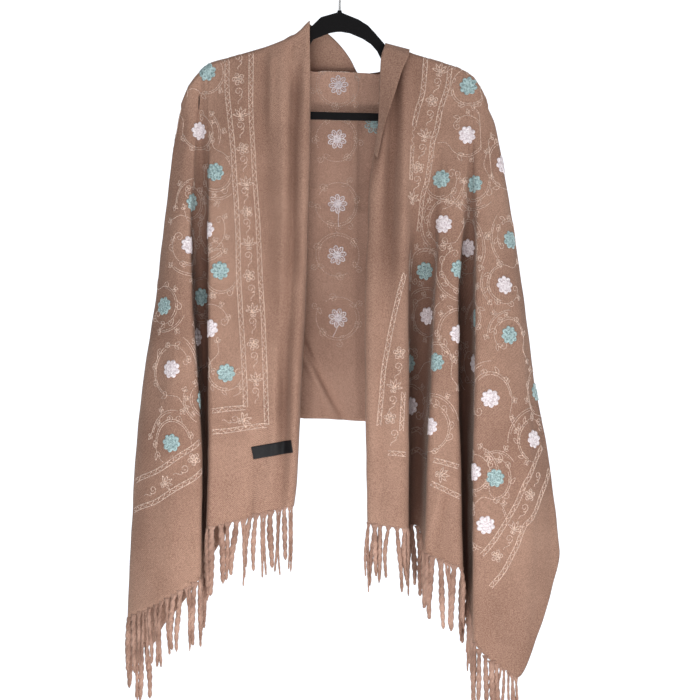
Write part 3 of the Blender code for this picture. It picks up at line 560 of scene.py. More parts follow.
def flat_places(grid, anchor):
    """Where each point lies on the flat cloth, in metres: across from one column, and down from the ridge."""
    across = np.linalg.norm(np.diff(grid, axis=0), axis=2)
    across = np.concatenate([np.zeros((1, grid.shape[1])), np.cumsum(across, axis=0)])
    across = across - across[anchor]
    down = np.linalg.norm(np.diff(grid, axis=1), axis=2)
    down = np.concatenate([np.zeros((grid.shape[0], 1)), np.cumsum(down, axis=1)], axis=1)
    return np.stack([across, down], axis=-1)


print("cloth", CLOTH_THICK, "mm thick")

# %% [markdown]
# ## Wool
# Fine wool twill has three scales: a diagonal weave nearly two millimetres apart, a nap of loose fibres that
# lightens the cloth where it is seen edge on, and slow changes of tone from dyeing and handling. The first two
# are shader node groups with named sockets, so that both faces of the cloth and the yarn of the fringe can use
# them with their own values.

# %% Shader groups for weave and nap
def new_group(name, inputs, outputs):
    """An empty shader node group with named sockets, and its input and output nodes."""
    group = bpy.data.node_groups.new(name, "ShaderNodeTree")
    for label, value in inputs:
        kind = "NodeSocketVector" if value is None else "NodeSocketFloat"
        made = group.interface.new_socket(name=label, in_out="INPUT", socket_type=kind)
        if value is not None:
            made.default_value = value
    for label in outputs:
        group.interface.new_socket(name=label, in_out="OUTPUT", socket_type="NodeSocketFloat")
    return group, group.nodes.new("NodeGroupInput"), group.nodes.new("NodeGroupOutput")


def add(tree, kind, links=None, **settings):
    """A node with its settings, and its inputs joined to sockets or given values."""
    node = tree.nodes.new(kind)
    for key, value in settings.items():
        setattr(node, key, value)
    for socket, source in (links or {}).items():
        target = node.inputs[socket]
        if hasattr(source, "links"):
            tree.links.new(source, target)
        else:
            target.default_value = source
    return node


def maths(tree, operation, *values, **settings):
    """The result of a math node on sockets or numbers."""
    return add(tree, "ShaderNodeMath", dict(enumerate(values)), operation=operation, **settings).outputs[0]


def ranged(tree, value, low, high, to_low=0.0, to_high=1.0):
    """A value moved from one range to another, and held there."""
    return add(tree, "ShaderNodeMapRange", {"Value": value, "From Min": low, "From Max": high,
               "To Min": to_low, "To Max": to_high}).outputs[0]


def weave_group():
    """Diagonal twill from the flat place on the cloth: 1 on the raised lines and 0 between them."""
    group, start, end = new_group("twill weave", (("Flat Place", None), ("Lines per Metre", 820.0)), ("Raised",))
    flat_place = add(group, "ShaderNodeSeparateXYZ", {0: start.outputs["Flat Place"]}).outputs
    lines = maths(group, "MULTIPLY", maths(group, "ADD", flat_place["X"], flat_place["Y"]),
                  start.outputs["Lines per Metre"])
    wave = maths(group, "SINE", maths(group, "MULTIPLY", lines, FULL_TURN))
    group.links.new(ranged(group, wave, -1.0, 1.0), end.inputs["Raised"])
    return group


def nap_group():
    """Loose fibres and slow changes of tone, from the place in space."""
    group, start, end = new_group("wool nap", (("Place", None), ("Fibre Scale", 900.0), ("Tone Scale", 9.0)),
                                  ("Fibre", "Tone"))
    for label, detail, rough in (("Fibre", 3.0, 0.65), ("Tone", 2.0, 0.5)):
        noise = add(group, "ShaderNodeTexNoise", {"Vector": start.outputs["Place"],
                    "Scale": start.outputs[label + " Scale"], "Detail": detail, "Roughness": rough})
        group.links.new(noise.outputs["Fac"], end.inputs[label])
    return group


WEAVE, NAP = weave_group(), nap_group()
print("groups:", WEAVE.name, "and", NAP.name)

# %% Wool cloth
TWILL_LINES = 420.0  # to a metre
# Painted shade in the folds: the colour darkens towards these shares of the dark tone where the cloth is little
# open.
OPEN_RANGE = (0.12, 0.92)  # how open a place is where it has its deepest colour, and its plain one
FOLD_SHADE_SHARE = (0.42, 0.34, 0.33)  # red, green and blue left of the dark tone where a fold is closed


def new_material(name):
    made = bpy.data.materials.new(name)
    made.use_nodes = True
    return made, made.node_tree, made.node_tree.nodes["Principled BSDF"]


def napped(name, fibre_scale, tone_scale=9.0):
    """A new material, and in it the outputs of a nap group that reads the place in space."""
    made, tree, shader = new_material(name)
    place = add(tree, "ShaderNodeTexCoord").outputs["Object"]
    nap = add(tree, "ShaderNodeGroup", {"Place": place, "Fibre Scale": fibre_scale, "Tone Scale": tone_scale},
              node_tree=NAP)
    return made, tree, shader, nap.outputs


def mix_colours(tree, factor, dark, light):
    """A colour between two others, each a socket or three numbers."""
    pair = {n: value if hasattr(value, "links") else (*value, 1.0) for n, value in ((6, dark), (7, light))}
    return add(tree, "ShaderNodeMix", {0: factor, **pair}, data_type="RGBA").outputs[2]


def painted_fold_shade(tree, dark, plain, closed=OPEN_RANGE[0]):
    """The plain colour with painted shade: it goes to a deeper one where the attribute "open" is small."""
    shade = add(tree, "ShaderNodeAttribute", attribute_name="open").outputs["Fac"]
    deep = tuple(value * part for value, part in zip(dark, FOLD_SHADE_SHARE))
    return mix_colours(tree, ranged(tree, shade, closed, OPEN_RANGE[1]), deep, plain)


def complete(tree, shader, colour, height, strength, distance, values):
    """Gives a shader its colour, its fine relief and its uniform values."""
    relief = add(tree, "ShaderNodeBump", {"Height": height, "Strength": strength, "Distance": distance})
    tree.links.new(colour, shader.inputs["Base Color"])
    tree.links.new(relief.outputs["Normal"], shader.inputs["Normal"])
    for socket, value in values.items():
        shader.inputs[socket].default_value = value


def wool(name, dark, light, sheen):
    """Napped wool twill between two colours, with painted shade where the cloth is little open."""
    made, tree, shader, nap = napped(name, 680.0)
    flat_place = add(tree, "ShaderNodeUVMap", uv_map="flat").outputs["UV"]
    raised = add(tree, "ShaderNodeGroup", {"Flat Place": flat_place, "Lines per Metre": TWILL_LINES},
                 node_tree=WEAVE).outputs["Raised"]
    tone = ranged(tree, nap["Tone"], 0.3, 0.7, 0.25, 0.75)
    grain = maths(tree, "ADD", ranged(tree, nap["Fibre"], 0.3, 0.7, -0.6, 0.6),
                  ranged(tree, raised, 0.0, 1.0, -0.2, 0.2))
    plain = mix_colours(tree, maths(tree, "ADD", tone, grain, use_clamp=True), dark, light)
    complete(tree, shader, painted_fold_shade(tree, dark, plain), maths(tree, "ADD", nap["Fibre"], raised), 0.5, 0.0012,
             {"Roughness": 0.8, "Specular IOR Level": 0.2, "Sheen Weight": sheen, "Sheen Roughness": 0.4,
              "Sheen Tint": (0.95, 0.78, 0.66, 1.0)})
    return made


WOOL = wool("wool_right_side", (0.27, 0.145, 0.102), (0.53, 0.325, 0.24), 0.25)
WOOL_BACK = wool("wool_wrong_side", (0.35, 0.195, 0.142), (0.57, 0.35, 0.265), 0.2)
print("wool materials made")

# %% [markdown]
# ## The shawl, its nape and its collar
# The shawl replaces the ten CAD pieces of cloth with one shell, because the real one is a single cloth. The
# neck edge shows twice: as a plain flap that crosses behind the hanger's arch, and as a collar turned over on
# the right shoulder. Both are strips between two given edges.

# %% Shawl
flat = np.zeros(surface.shape[:2] + (2,))
flat[:left_side + 1] = flat_places(surface[:left_side + 1], 0)
flat[left_side:right_side + 1] = flat_places(surface[left_side:right_side + 1], (right_side - left_side) // 2)
flat[right_side:] = flat_places(surface[right_side:], -1) + (3.0, 0.0)
shawl = shell_from("shawl", surface, normals, CLOTH_THICK, flat)
shawl.data.materials.append(WOOL)
shawl.data.materials.append(WOOL_BACK)
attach(shawl, BODY)
CLOTH_NODES = sorted(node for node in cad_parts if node.startswith("shawl_"))
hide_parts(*CLOTH_NODES)
print("shawl:", len(shawl.data.polygons), "faces")


# %% Nape flap and turned collar
def strip_between(first_edge, second_edge, across, lengthwise):
    """A grid between two edges, in metres."""
    one, two = curve_through(first_edge, lengthwise), curve_through(second_edge, lengthwise)
    return to_world(np.array([one + (two - one) * k / across for k in range(across + 1)]))


def strip_piece(name, grid, node):
    made = shell_from(name, grid, grid_normals(grid), CLOTH_THICK, flat_places(grid, 0))
    made.data.materials.append(WOOL)
    made.data.materials.append(WOOL)
    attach(made, BODY)
    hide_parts(node)
    return made


upper, lower = zip(*NAPE_FLAP)
nape_grid = strip_between(upper, lower, 14, 60)
collar_grid = strip_between(COLLAR_FOLD, COLLAR_EDGE, 12, 110)
nape = strip_piece("nape", nape_grid, "nape_flap")
collar = strip_piece("collar", collar_grid, "collar_turnover")
print("nape and collar made")

# %% [markdown]
# ## Painted shade between the folds
# Deep between two folds the light comes off the wool alone, which makes it dark and red. A pale studio fills
# the folds more than the room of the photograph did, so how open each place is gets measured once, with rays
# that leave the cloth all round, and the colour of cloth and thread is darkened by it as painted shade.

# %% How open each place of the cloth is
OPEN_RAYS = 14
OPEN_REACH = 0.16  # a ray that meets nothing within this many metres is free
OPEN_LIFT = 2.0  # how far above the cloth the rays start, in mm
GOLDEN_ANGLE = 2.39996
ROW_SKIP = 3
# On the shoulder's roll the painted shade is kept light, since the rays there run along the cloth and say nothing.
SHOULDER_ROWS, SHOULDER_OPEN = 9, 0.85  # on the shoulder's roll the rays run along the cloth and say nothing


def tree_of(*pieces):
    shape = bmesh.new()
    for piece in pieces:
        shape.from_mesh(piece.data)
    tree = BVHTree.FromBMesh(shape)
    shape.free()
    return tree


def ray_fan(count):
    """Directions spread evenly over a half sphere about +Z, closer together towards its top."""
    fan = []
    for k in range(count):
        tilt = math.sqrt((k + 0.5) / count)
        turn = k * GOLDEN_ANGLE
        fan.append((tilt * math.cos(turn), tilt * math.sin(turn), math.sqrt(1 - tilt * tilt)))
    return np.array(fan)


def openness(places, out, tree):
    """The share of rays that leave each place freely."""
    fan = ray_fan(OPEN_RAYS)
    side = unit(np.cross(out, (0.0, 0.0, 1.0)) + 1e-6)
    up = np.cross(out, side)
    ways = side[:, None] * fan[None, :, :1] + up[:, None] * fan[None, :, 1:2] + out[:, None] * fan[None, :, 2:]
    starts = places + out * OPEN_LIFT * MM
    free = np.zeros(len(places))
    for n in range(len(places)):
        start = Vector(starts[n])
        free[n] = sum(tree.ray_cast(start, Vector(way), OPEN_REACH)[0] is None for way in ways[n])
    return free / OPEN_RAYS


def smoothed(table, times):
    """A grid of values averaged with its neighbours."""
    for _ in range(times):
        wide = np.pad(table, 1, mode="edge")
        table = (wide[:-2, 1:-1] + wide[2:, 1:-1] + wide[1:-1, :-2] + wide[1:-1, 2:] + 2 * table) / 6
    return table


def open_grid(grid, out, tree):
    """Openness over a grid, measured at every few rows and read between them."""
    rows = np.unique(np.append(np.arange(0, grid.shape[1], ROW_SKIP), grid.shape[1] - 1))
    part = openness(grid[:, rows].reshape(-1, 3), out[:, rows].reshape(-1, 3), tree).reshape(len(grid), len(rows))
    every = np.arange(grid.shape[1])
    return np.array([np.interp(every, rows, line) for line in smoothed(part, 4)])


def give_open(piece, values):
    made = piece.data.attributes.new("open", "FLOAT", "POINT")
    made.data.foreach_set("value", np.asarray(values, np.float32))


cloth_tree = tree_of(shawl, nape, collar)
open_outside = open_grid(surface, normals, cloth_tree)
shoulder = np.clip(1 - np.arange(open_outside.shape[1]) / SHOULDER_ROWS, 0, 1)
open_outside += (SHOULDER_OPEN - open_outside).clip(0) * shoulder
# The right side gets painted shade from its openness; the wrong side is given none.
give_open(shawl, np.concatenate([open_outside.ravel(), np.ones(open_outside.size)]))
for strip, grid in ((nape, nape_grid), (collar, collar_grid)):
    ways = grid_normals(grid)
    give_open(strip, np.concatenate([open_grid(grid, face * ways, cloth_tree).ravel() for face in (1, -1)]))
print("the deepest fold is", round(float(open_outside.min()), 2), "open")

# %% [markdown]
# ## Fringe
# The ends of the cloth are finished with its own warp threads, gathered and twisted two by two into soft cords.
# Each cord flares out where it leaves the cloth and hangs under its own weight with a slight curl of its own.
# Two plies that wind round one another make the twist.

# %% Fringe cords
STRAND_PITCH = 10.8
STRAND_LENGTH = (72.0, 98.0)
PLY_RADIUS = 2.7
PLY_PITCH = 24.0  # length of one turn of the twist
CORD_SIDES = 6
CORD_STEP = 3.0  # from one section of a cord to the next
ROOT_BEND, ROOT_SHARE = 14.0, 0.35  # over which a cord turns to straight down, and how far it follows the cloth
FLARE, FLARE_WIDE = 9.0, 2.1  # how far below the hem the spread root of a cord closes up, and its half width
TIP_SHARE = 0.1  # of a cord's length that rounds off
THIN_SHARE, THIN_APART = 0.2, 2.4  # how many cords are two thin ones, and how far these stand to each side
LEFT_CORNER, RIGHT_CORNER = 0, 14  # the folds of BACK and RIGHT_FRONT at which the fringed ends stop


def cord_line(root, fall, out, wide, lean, chance, length):
    """The middle line of one cord: it follows the cloth, turns down, and sways more towards its tip."""
    curl, start = chance.uniform(0.4, 2.4), chance.uniform(0, 6.28)
    swing = chance.uniform(-1.5, 1.5)
    steps = int(length / CORD_STEP)
    line = []
    for i in range(steps + 1):
        s = i / steps
        run = s * length
        bent = min(1.0, run / ROOT_BEND)
        along_cloth = ROOT_SHARE * ROOT_BEND * (bent - bent * bent / 2)
        down = np.array([0, 0, -1.0]) * (run - along_cloth) + fall * along_cloth
        bend = math.sin(start + 4.4 * s) - math.sin(start)
        line.append(root + (down + wide * (lean * s * (1.4 - 0.4 * s) + curl * bend) + out * swing * s) * MM)
    return np.array(line)


def add_cord(points, faces, line, wide, out, chance, radius):
    """Two plies wound round one another, spread where they leave the cloth and rounded at the tip."""
    steps = len(line)
    length = float(np.linalg.norm(np.diff(line, axis=0), axis=1).sum()) / MM
    start = chance.uniform(0, 6.28)
    for ply in (-1, 1):
        first = len(points)
        for i, place in enumerate(line):
            s = i / (steps - 1)
            run = s * length
            twist = start + (ply + 1) * math.pi / 2 + FULL_TURN * run / PLY_PITCH
            flare = max(0.0, 1 - run / FLARE) ** 1.6
            ending = max(0.0, s - (1 - TIP_SHARE)) / TIP_SHARE
            swell = 0.82 + 0.36 * math.sin(math.pi * min(1.0, s * 1.15)) + 0.06 * math.sin(11 * s + start)
            apart = radius * swell * 0.38
            centre = place + (wide * (math.cos(twist) * apart * (1 - flare) + ply * flare * FLARE_WIDE)
                              + out * math.sin(twist) * apart * (1 - flare)) * MM
            thick = radius * swell * math.sqrt(1.06 - ending * ending)
            for k in range(CORD_SIDES):
                turn = FULL_TURN * k / CORD_SIDES
                points.append(centre + (wide * math.cos(turn) * thick * (1 + 0.75 * flare)
                                        + out * math.sin(turn) * thick * (1 - 0.55 * flare)) * MM)
        for i in range(steps - 1):
            a = first + i * CORD_SIDES
            for k in range(CORD_SIDES):
                n = (k + 1) % CORD_SIDES
                faces.append((a + k, a + n, a + CORD_SIDES + n, a + CORD_SIDES + k))
        faces.append(tuple(range(first + CORD_SIDES - 1, first - 1, -1)))
        last = first + (steps - 1) * CORD_SIDES
        faces.append(tuple(range(last, last + CORD_SIDES)))


def fringe(name, first, last, seed, node):
    """Cords along the hem from one column of the cloth to another."""
    chance = random.Random(seed)
    hem = surface[first:last + 1, -1]
    out = normals[first:last + 1, -1]
    fall = hem - surface[first:last + 1, -4]
    reach = run_along(hem)
    count = int(reach[-1] / MM / STRAND_PITCH)
    points, faces = [], []
    leans = [chance.uniform(-5.5, 5.5) for _ in range(count)]
    for i in range(1, count - 1, 3):
        leans[i], leans[i + 1] = chance.uniform(1.5, 5.5), chance.uniform(-5.5, -1.5)
    for i in range(count):
        middle = (i + 0.5 + chance.uniform(-0.15, 0.15)) * reach[-1] / count
        thin = chance.random() < THIN_SHARE
        for at in ((middle - THIN_APART * MM, middle + THIN_APART * MM) if thin else (middle,)):

            def read(table):
                return np.array([np.interp(at, reach, table[:, k]) for k in range(3)])

            root, down, outward = read(hem), unit(read(fall)), unit(read(out))
            wide = unit(np.cross(outward, down))
            facing = 1.0 if wide[0] > 0 else -1.0
            length = chance.uniform(*STRAND_LENGTH)
            radius = PLY_RADIUS * (chance.uniform(0.45, 0.6) if thin else chance.uniform(0.72, 1.15))
            lean = facing * leans[i] + (chance.uniform(-3, 3) if thin else 0.0)
            line = cord_line(root - down * 1.5 * MM, down, outward, wide, lean, chance, length)
            add_cord(points, faces, line, wide, outward, chance, radius)
    made = mesh_of(name, np.array(points), faces)
    face_outwards(made)
    made.data.materials.append(YARN)
    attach(made, BODY)
    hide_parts(node)
    print(name, count, "cords,", len(made.data.polygons), "faces")
    return made


def yarn():
    """Twisted wool yarn: fuzzier and a little redder than the cloth, darker between the fibres."""
    made, tree, shader, nap = napped("wool_yarn", 1100.0, 38.0)
    spread = ranged(tree, maths(tree, "ADD", nap["Fibre"], nap["Tone"]), 0.7, 1.3)
    complete(tree, shader, mix_colours(tree, spread, (0.22, 0.115, 0.08), (0.56, 0.35, 0.27)), nap["Fibre"], 0.6,
             0.0006, {"Roughness": 0.9, "Sheen Weight": 0.3, "Sheen Roughness": 0.4,
                      "Sheen Tint": (0.95, 0.76, 0.62, 1.0)})
    return made


YARN = yarn()
rails_left = len(rails_of(LEFT_FRONT, -1)[0])
back_places = rails_of(BACK, 1)[1]
right_places = rails_of(RIGHT_FRONT, -1)[1]
left_end = rail_columns[rails_left + back_places[LEFT_CORNER]]
right_end = rail_columns[len(rail_columns) - 1 - right_places[RIGHT_CORNER]]
fringe_left = fringe("fringe_left_cords", 0, left_end, 3, "fringe_left")
fringe_right = fringe("fringe_right_cords", right_end, len(surface) - 1, 5, "fringe_right")

# %% [markdown]
# ## Where the needle goes
# The embroidery follows the cloth over every fold, so it is drawn in the cloth's own grid of columns and rows.
# A place seen in the photograph is turned into a place on the grid by a ray from the camera. From there, an
# offset in millimetres across and down the cloth leads to any other point of the motif, with its normal, and
# the thread is laid a little above it.

# %% Places on the cloth
shawl_tree = tree_of(shawl)
drops = -surface[..., 2] / MM
COLUMNS, ROWS = surface.shape[:2]
LAY_REACH = 34  # how many columns to each side a motif may spread


def read_grid(table, c, r):
    """A grid's values between its columns and rows, at arrays of fractional columns c and rows r."""
    c, r = np.clip(c, 0, COLUMNS - 1.001), np.clip(r, 0, ROWS - 1.001)
    i, k = c.astype(int), r.astype(int)
    u, v = (c - i)[:, None], (r - k)[:, None]
    return (table[i, k] * (1 - u) * (1 - v) + table[i + 1, k] * u * (1 - v)
            + table[i, k + 1] * (1 - u) * v + table[i + 1, k + 1] * u * v)


def point_at(c, r):
    """The point of the cloth at one fractional column and row."""
    return read_grid(surface, np.array([c]), np.array([r]))[0]


def rows_at(c, drop):
    """The fractional row of column c at which the cloth is this far down."""
    i = np.clip(c.astype(int), 0, COLUMNS - 2)
    u = np.clip(c - i, 0, 1)
    steps = np.arange(ROWS)
    found = np.empty(len(c))
    for n in range(len(c)):
        line = drops[i[n]] * (1 - u[n]) + drops[i[n] + 1] * u[n]
        found[n] = np.interp(drop[n], line, steps)
    return found


def nearest_place(point, panel=None):
    """The (column, row) of the cloth nearest a point in space."""
    first, last = PANELS[panel] if panel else (0, COLUMNS - 1)
    away = np.linalg.norm(surface[first:last + 1] - np.array(point), axis=2)
    c, r = np.unravel_index(np.argmin(away), away.shape)
    c, r = float(c + first), float(r)
    for _ in range(4):
        across = point_at(c + 0.5, r) - point_at(c - 0.5, r)
        down = point_at(c, r + 0.5) - point_at(c, r - 0.5)
        step = np.linalg.lstsq(np.stack([across, down], axis=1), np.array(point) - point_at(c, r), rcond=None)[0]
        c = min(max(c + float(np.clip(step[0], -1, 1)), first), last)
        r = min(max(r + float(np.clip(step[1], -1, 1)), 0), ROWS - 1)
    return c, r


def spot(px, py):
    """The place on the cloth that the camera sees at a pixel of the photograph, or just beside it at an edge."""
    for beside_px in (0, -2, 2, -4, 4):
        seen = shawl_tree.ray_cast(camera.location, ray_of_pixel(px + beside_px, py))[0]
        if seen is not None:
            return nearest_place(seen)
    raise ValueError(f"no cloth at pixel {px}, {py}")


def turned(xy, angle, x=0.0, y=0.0):
    """The same line turned, and moved to (x, y)."""
    xy = np.asarray(xy, float)
    c, s = math.cos(angle), math.sin(angle)
    return np.stack([xy[:, 0] * c - xy[:, 1] * s + x, xy[:, 0] * s + xy[:, 1] * c + y], axis=1)


def lay(place, xy, turn=0.0):
    """Columns and rows of points given in mm to the right and down of a place, seen from outside."""
    c0, r0 = place
    x, y = turned(xy, turn).T
    start = point_at(c0, r0)
    drop0 = -start[2] / MM
    near = np.arange(max(0, int(c0) - LAY_REACH), min(COLUMNS, int(c0) + LAY_REACH + 1)).astype(float)
    level = read_grid(surface, near, rows_at(near, np.full(len(near), drop0)))
    reach = run_along(level[:, :2]) / MM
    lean = point_at(c0, min(r0 + 2, ROWS - 1.0)) - start
    slant = 0.0
    if abs(lean[2]) > 1e-6:
        flow = np.interp(c0 + 0.5, near, np.arange(len(near))), np.interp(c0 - 0.5, near, np.arange(len(near)))
        way = np.array([np.interp(f, np.arange(len(near)), level[:, k]) for f in flow for k in (0, 1)])
        way = (way[:2] - way[2:])
        way /= max(np.linalg.norm(way), 1e-9)
        slant = float(np.dot(lean[:2], way) / -lean[2])
    base = np.interp(c0, near, reach)
    c = np.interp(base - x - slant * y, reach, near)
    return c, rows_at(c, drop0 + y)


def on_cloth(c, r, side=1):
    """Points on the right side of the cloth (1) or on its wrong side (-1), and the normals of that side."""
    out = unit(read_grid(normals, c, r))
    return read_grid(surface, c, r) + side * out * (CLOTH_THICK / 2) * MM, side * out


def places_tree(places):
    """A tree that finds the nearest of these places."""
    tree = KDTree(len(places))
    for n, place in enumerate(places):
        tree.insert(Vector(place), n)
    tree.balance()
    return tree


OPEN_PLACES = places_tree(surface.reshape(-1, 3))


def paint_cloth_shade(piece):
    """Gives a piece of embroidery the openness of the cloth under it, from which its material paints shade."""
    values = open_outside.ravel()
    give_open(piece, [values[OPEN_PLACES.find(point.co)[1]] for point in piece.data.vertices])


print("the cloth can be read at", COLUMNS, "by", ROWS, "places")

# %% [markdown]
# ## Chain stitch
# The tone-on-tone lines are chain stitch: one thread in linked loops, so that each line is a row of small beads
# that are wide where a loop opens and narrow where it closes. Each line becomes one low, closed strip whose
# width beats with the stitch.

# %% Stitched lines
STITCH = 3.6  # length of one chain stitch, in mm
THREAD_WIDE, THREAD_HIGH = 1.0, 0.6  # half width and height of a line of stitches


class Threads:
    """Collects stitched lines and makes them one mesh."""

    def __init__(self):
        self.points, self.faces = [], []
        self.count = 0

    def add_line(self, places, out, wide=THREAD_WIDE, high=THREAD_HIGH):
        if len(places) < 3:
            return
        side = unit(np.cross(unit(np.gradient(places, axis=0)), out))
        run = run_along(places) / MM
        beat = 0.7 + 0.3 * np.cos(run / STITCH * FULL_TURN)
        half = (side * (wide * beat * MM)[:, None])
        tall = out * (high * (0.75 + 0.25 * beat) * MM)[:, None]
        under = out * 0.25 * MM
        ring = np.stack([places - half - under, places - 0.5 * half + tall,
                         places + 0.5 * half + tall, places + half - under], axis=1)
        n = len(places)
        base = self.count
        self.points.append(ring.reshape(-1, 3))
        i = np.arange(n - 1)[:, None] * 4 + base
        for k in range(4):
            m = (k + 1) % 4
            self.faces.append(np.concatenate([i + k, i + m, i + 4 + m, i + 4 + k], axis=1))
        last = base + (n - 1) * 4
        self.faces.append(np.array([[base + 3, base + 2, base + 1, base], [last, last + 1, last + 2, last + 3]]))
        self.count += 4 * n

    def draw(self, place, xy, turn=0.0, side=1, closed=False, clear=False, **thread):
        """Stitches a given line, in mm about a place; clear leaves out what lies on or past the border."""
        xy = np.asarray(xy, float)
        if closed:
            xy = np.vstack([xy, xy[:1]])
        xy = even(xy, STITCH / 2)
        c, r = lay(place, xy, turn)
        places, out = on_cloth(c, r, side)
        if not clear:
            self.add_line(places, out, **thread)
            return
        keep = np.ones(len(xy), bool)
        for share in (0.4, 0.6, 0.8, 1.0):
            way = read_grid(surface, *lay(place, xy * share, turn))
            keep &= [BORDER.find(Vector(point))[2] > CLEAR_OF_BORDER * MM for point in way]
        starts = [i for i in range(len(keep)) if keep[i] and (i == 0 or not keep[i - 1])]
        for i in starts:
            end = next((k for k in range(i, len(keep)) if not keep[k]), len(keep))
            self.add_line(places[i:end], out[i:end], **thread)

    def finish(self, name, finish, slot):
        made = mesh_of(name, np.concatenate(self.points), np.concatenate(self.faces))
        paint_cloth_shade(made)
        made.data.materials.append(finish)
        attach(made, BODY)
        print(name, len(made.data.polygons), "faces")
        return made


def even(line, step):
    """The same line with points an even step apart."""
    line = np.asarray(line, float)
    run = run_along(line)
    count = max(3, int(round(run[-1] / step)) + 1)
    at = np.linspace(0, run[-1], count)
    return np.stack([np.interp(at, run, line[:, k]) for k in range(line.shape[1])], axis=1)


print("one stitch is", STITCH, "mm")


# %% Motifs, in mm, x to the right and y down
def spiral(radius, start, sweep, shrink=0.0, steps=40):
    """An arc whose radius shrinks by a share along it."""
    s = np.linspace(0, 1, steps)
    a = start + sweep * s
    return (radius * (1 - shrink * s) * np.array([np.cos(a), np.sin(a)])).T


def leaf(length, width, bend=0.0):
    """A closed pointed leaf from the origin along +x, bent to one side."""
    s = np.linspace(0, 1, 8)
    spine = bend * s * s
    half = np.sin(np.pi * s ** 0.8) * width / 2
    up, low = (np.stack([s * length, edge], axis=1) for edge in (spine + half, spine - half))
    return np.concatenate([up, low[::-1][1:-1]])


def curl(size, hand=1, stalk=0.0):
    """A small scroll that starts at the origin, runs along +x for its stalk, and rolls up to one side."""
    roll = spiral(size, -1.5708, 7.4, 0.8, 22) + (stalk, size)
    line = np.vstack([[(0.0, 0.0)], roll]) if stalk else roll
    return line * (1, hand)


def petals(count, inner, outer, steps=7):
    """The scalloped outline of a flat flower."""
    a = np.linspace(0, FULL_TURN, count * steps, endpoint=False)
    rr = inner + (outer - inner) * np.abs(np.sin(a * count / 2)) ** 0.6
    return (rr * np.array([np.cos(a), np.sin(a)])).T


def trefoil(stem=4.0, size=6.5):
    """A short stem with three leaves, as (line, closed) pairs."""
    lines = [(np.array([[0, 0], [stem * 0.5, 0.4], [stem, 0]]), False)]
    for angle, long in ((0.1, size), (1.0, size * 0.8), (-0.95, size * 0.8)):
        lines.append((turned(leaf(long, long * 0.5), angle, stem, 0), True))
    return lines


def palmette(size=14.5):
    """A fan of five long leaves over two curls, opening along -y."""
    lines = []
    for k, angle in enumerate((-1.05, -0.52, 0.0, 0.52, 1.05)):
        long = size * (1.0 - 0.08 * abs(k - 2))
        lines.append((turned(leaf(long, long * 0.26, 1.4 * (k - 2)), angle - 1.5708, 0, size * 0.35), True))
    for hand in (1, -1):
        lines.append((turned(curl(size * 0.22, hand), 1.5708 - hand * 0.9, 0, size * 0.4), False))
    return lines


def scroll(size=6.4, reach=17.5):
    """A scroll on an S-shaped tail that runs down to the next motif."""
    roll = spiral(size, 1.5708, -8.2, 0.72, 26)[::-1]
    tail = np.array([
        (3.6, size * 0.8), (5.2, size * 0.55 + 3), (3.2, size * 0.5 + 7), (-1.5, reach * 0.8), (-1.0, reach)])
    return [(np.concatenate([roll, even(tail, 2.2)]) - (0, size * 0.6), False)]


print("motifs drawn")

# %% [markdown]
# ## Raised flowers
# The pale blue and pinkish white flowers stand out from the cloth: eight loops of thick thread round a coiled
# middle. One flower is modelled with operators, a ring of thread for one petal that spin copies round the
# middle, and then it is bent onto the cloth at each place.

# %% One flower
PETALS = 8
FLOWER_FLAT = 0.85  # how much of its modelled height a flower keeps on the cloth


def one_flower():
    """A flat flower in millimetres about the origin, facing +Z."""
    bpy.ops.object.select_all(action="DESELECT")
    bpy.ops.mesh.primitive_torus_add(
        major_segments=12, minor_segments=6, major_radius=2.35, minor_radius=1.45, location=(0, 0, 0))
    made = bpy.context.object
    bpy.ops.object.mode_set(mode="EDIT")
    bpy.ops.transform.resize(value=(1.35, 1.08, 0.9))
    bpy.ops.transform.translate(value=(8.1, 0, 0.55))
    bpy.ops.mesh.primitive_uv_sphere_add(segments=6, ring_count=4, radius=1.5, location=(8.4, 0, 0.5))
    bpy.ops.mesh.select_all(action="SELECT")
    bpy.ops.mesh.spin(steps=PETALS, dupli=True, angle=math.radians(360), center=(0, 0, 0), axis=(0, 0, 1),
                      use_auto_merge=False)
    bpy.ops.mesh.select_all(action="DESELECT")
    bpy.ops.mesh.primitive_torus_add(
        major_segments=14, minor_segments=6, major_radius=2.9, minor_radius=1.45, location=(0, 0, 0.7))
    bpy.ops.mesh.primitive_uv_sphere_add(segments=8, ring_count=5, radius=1.9, location=(0, 0, 0.6))
    bpy.ops.object.mode_set(mode="OBJECT")
    points = np.array([v.co[:] for v in made.data.vertices])
    faces = [tuple(p.vertices) for p in made.data.polygons]
    bpy.data.objects.remove(made, do_unlink=True)
    return points, faces


FLOWER = one_flower()
print("flower:", len(FLOWER[1]), "faces, reaching", round(float(np.abs(FLOWER[0]).max()), 1), "mm")


class Blooms:
    """Collects flowers of one colour and makes them one mesh."""

    def __init__(self):
        self.points, self.faces, self.count, self.flowers = [], [], 0, 0

    def add(self, place, turn):
        shape, faces = FLOWER
        base, out = on_cloth(*lay(place, shape[:, :2], turn))
        self.points.append(base + out * (shape[:, 2:] * FLOWER_FLAT) * MM)
        self.faces += [tuple(i + self.count for i in face) for face in faces]
        self.count += len(shape)
        self.flowers += 1

    def finish(self, name, finish, slot):
        made = mesh_of(name, np.concatenate(self.points), self.faces)
        face_outwards(made, 0.00002)
        made.data.shade_smooth()
        paint_cloth_shade(made)
        made.data.materials.append(finish)
        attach(made, BODY)
        print(name, self.flowers, "flowers,", len(made.data.polygons), "faces")
        return made


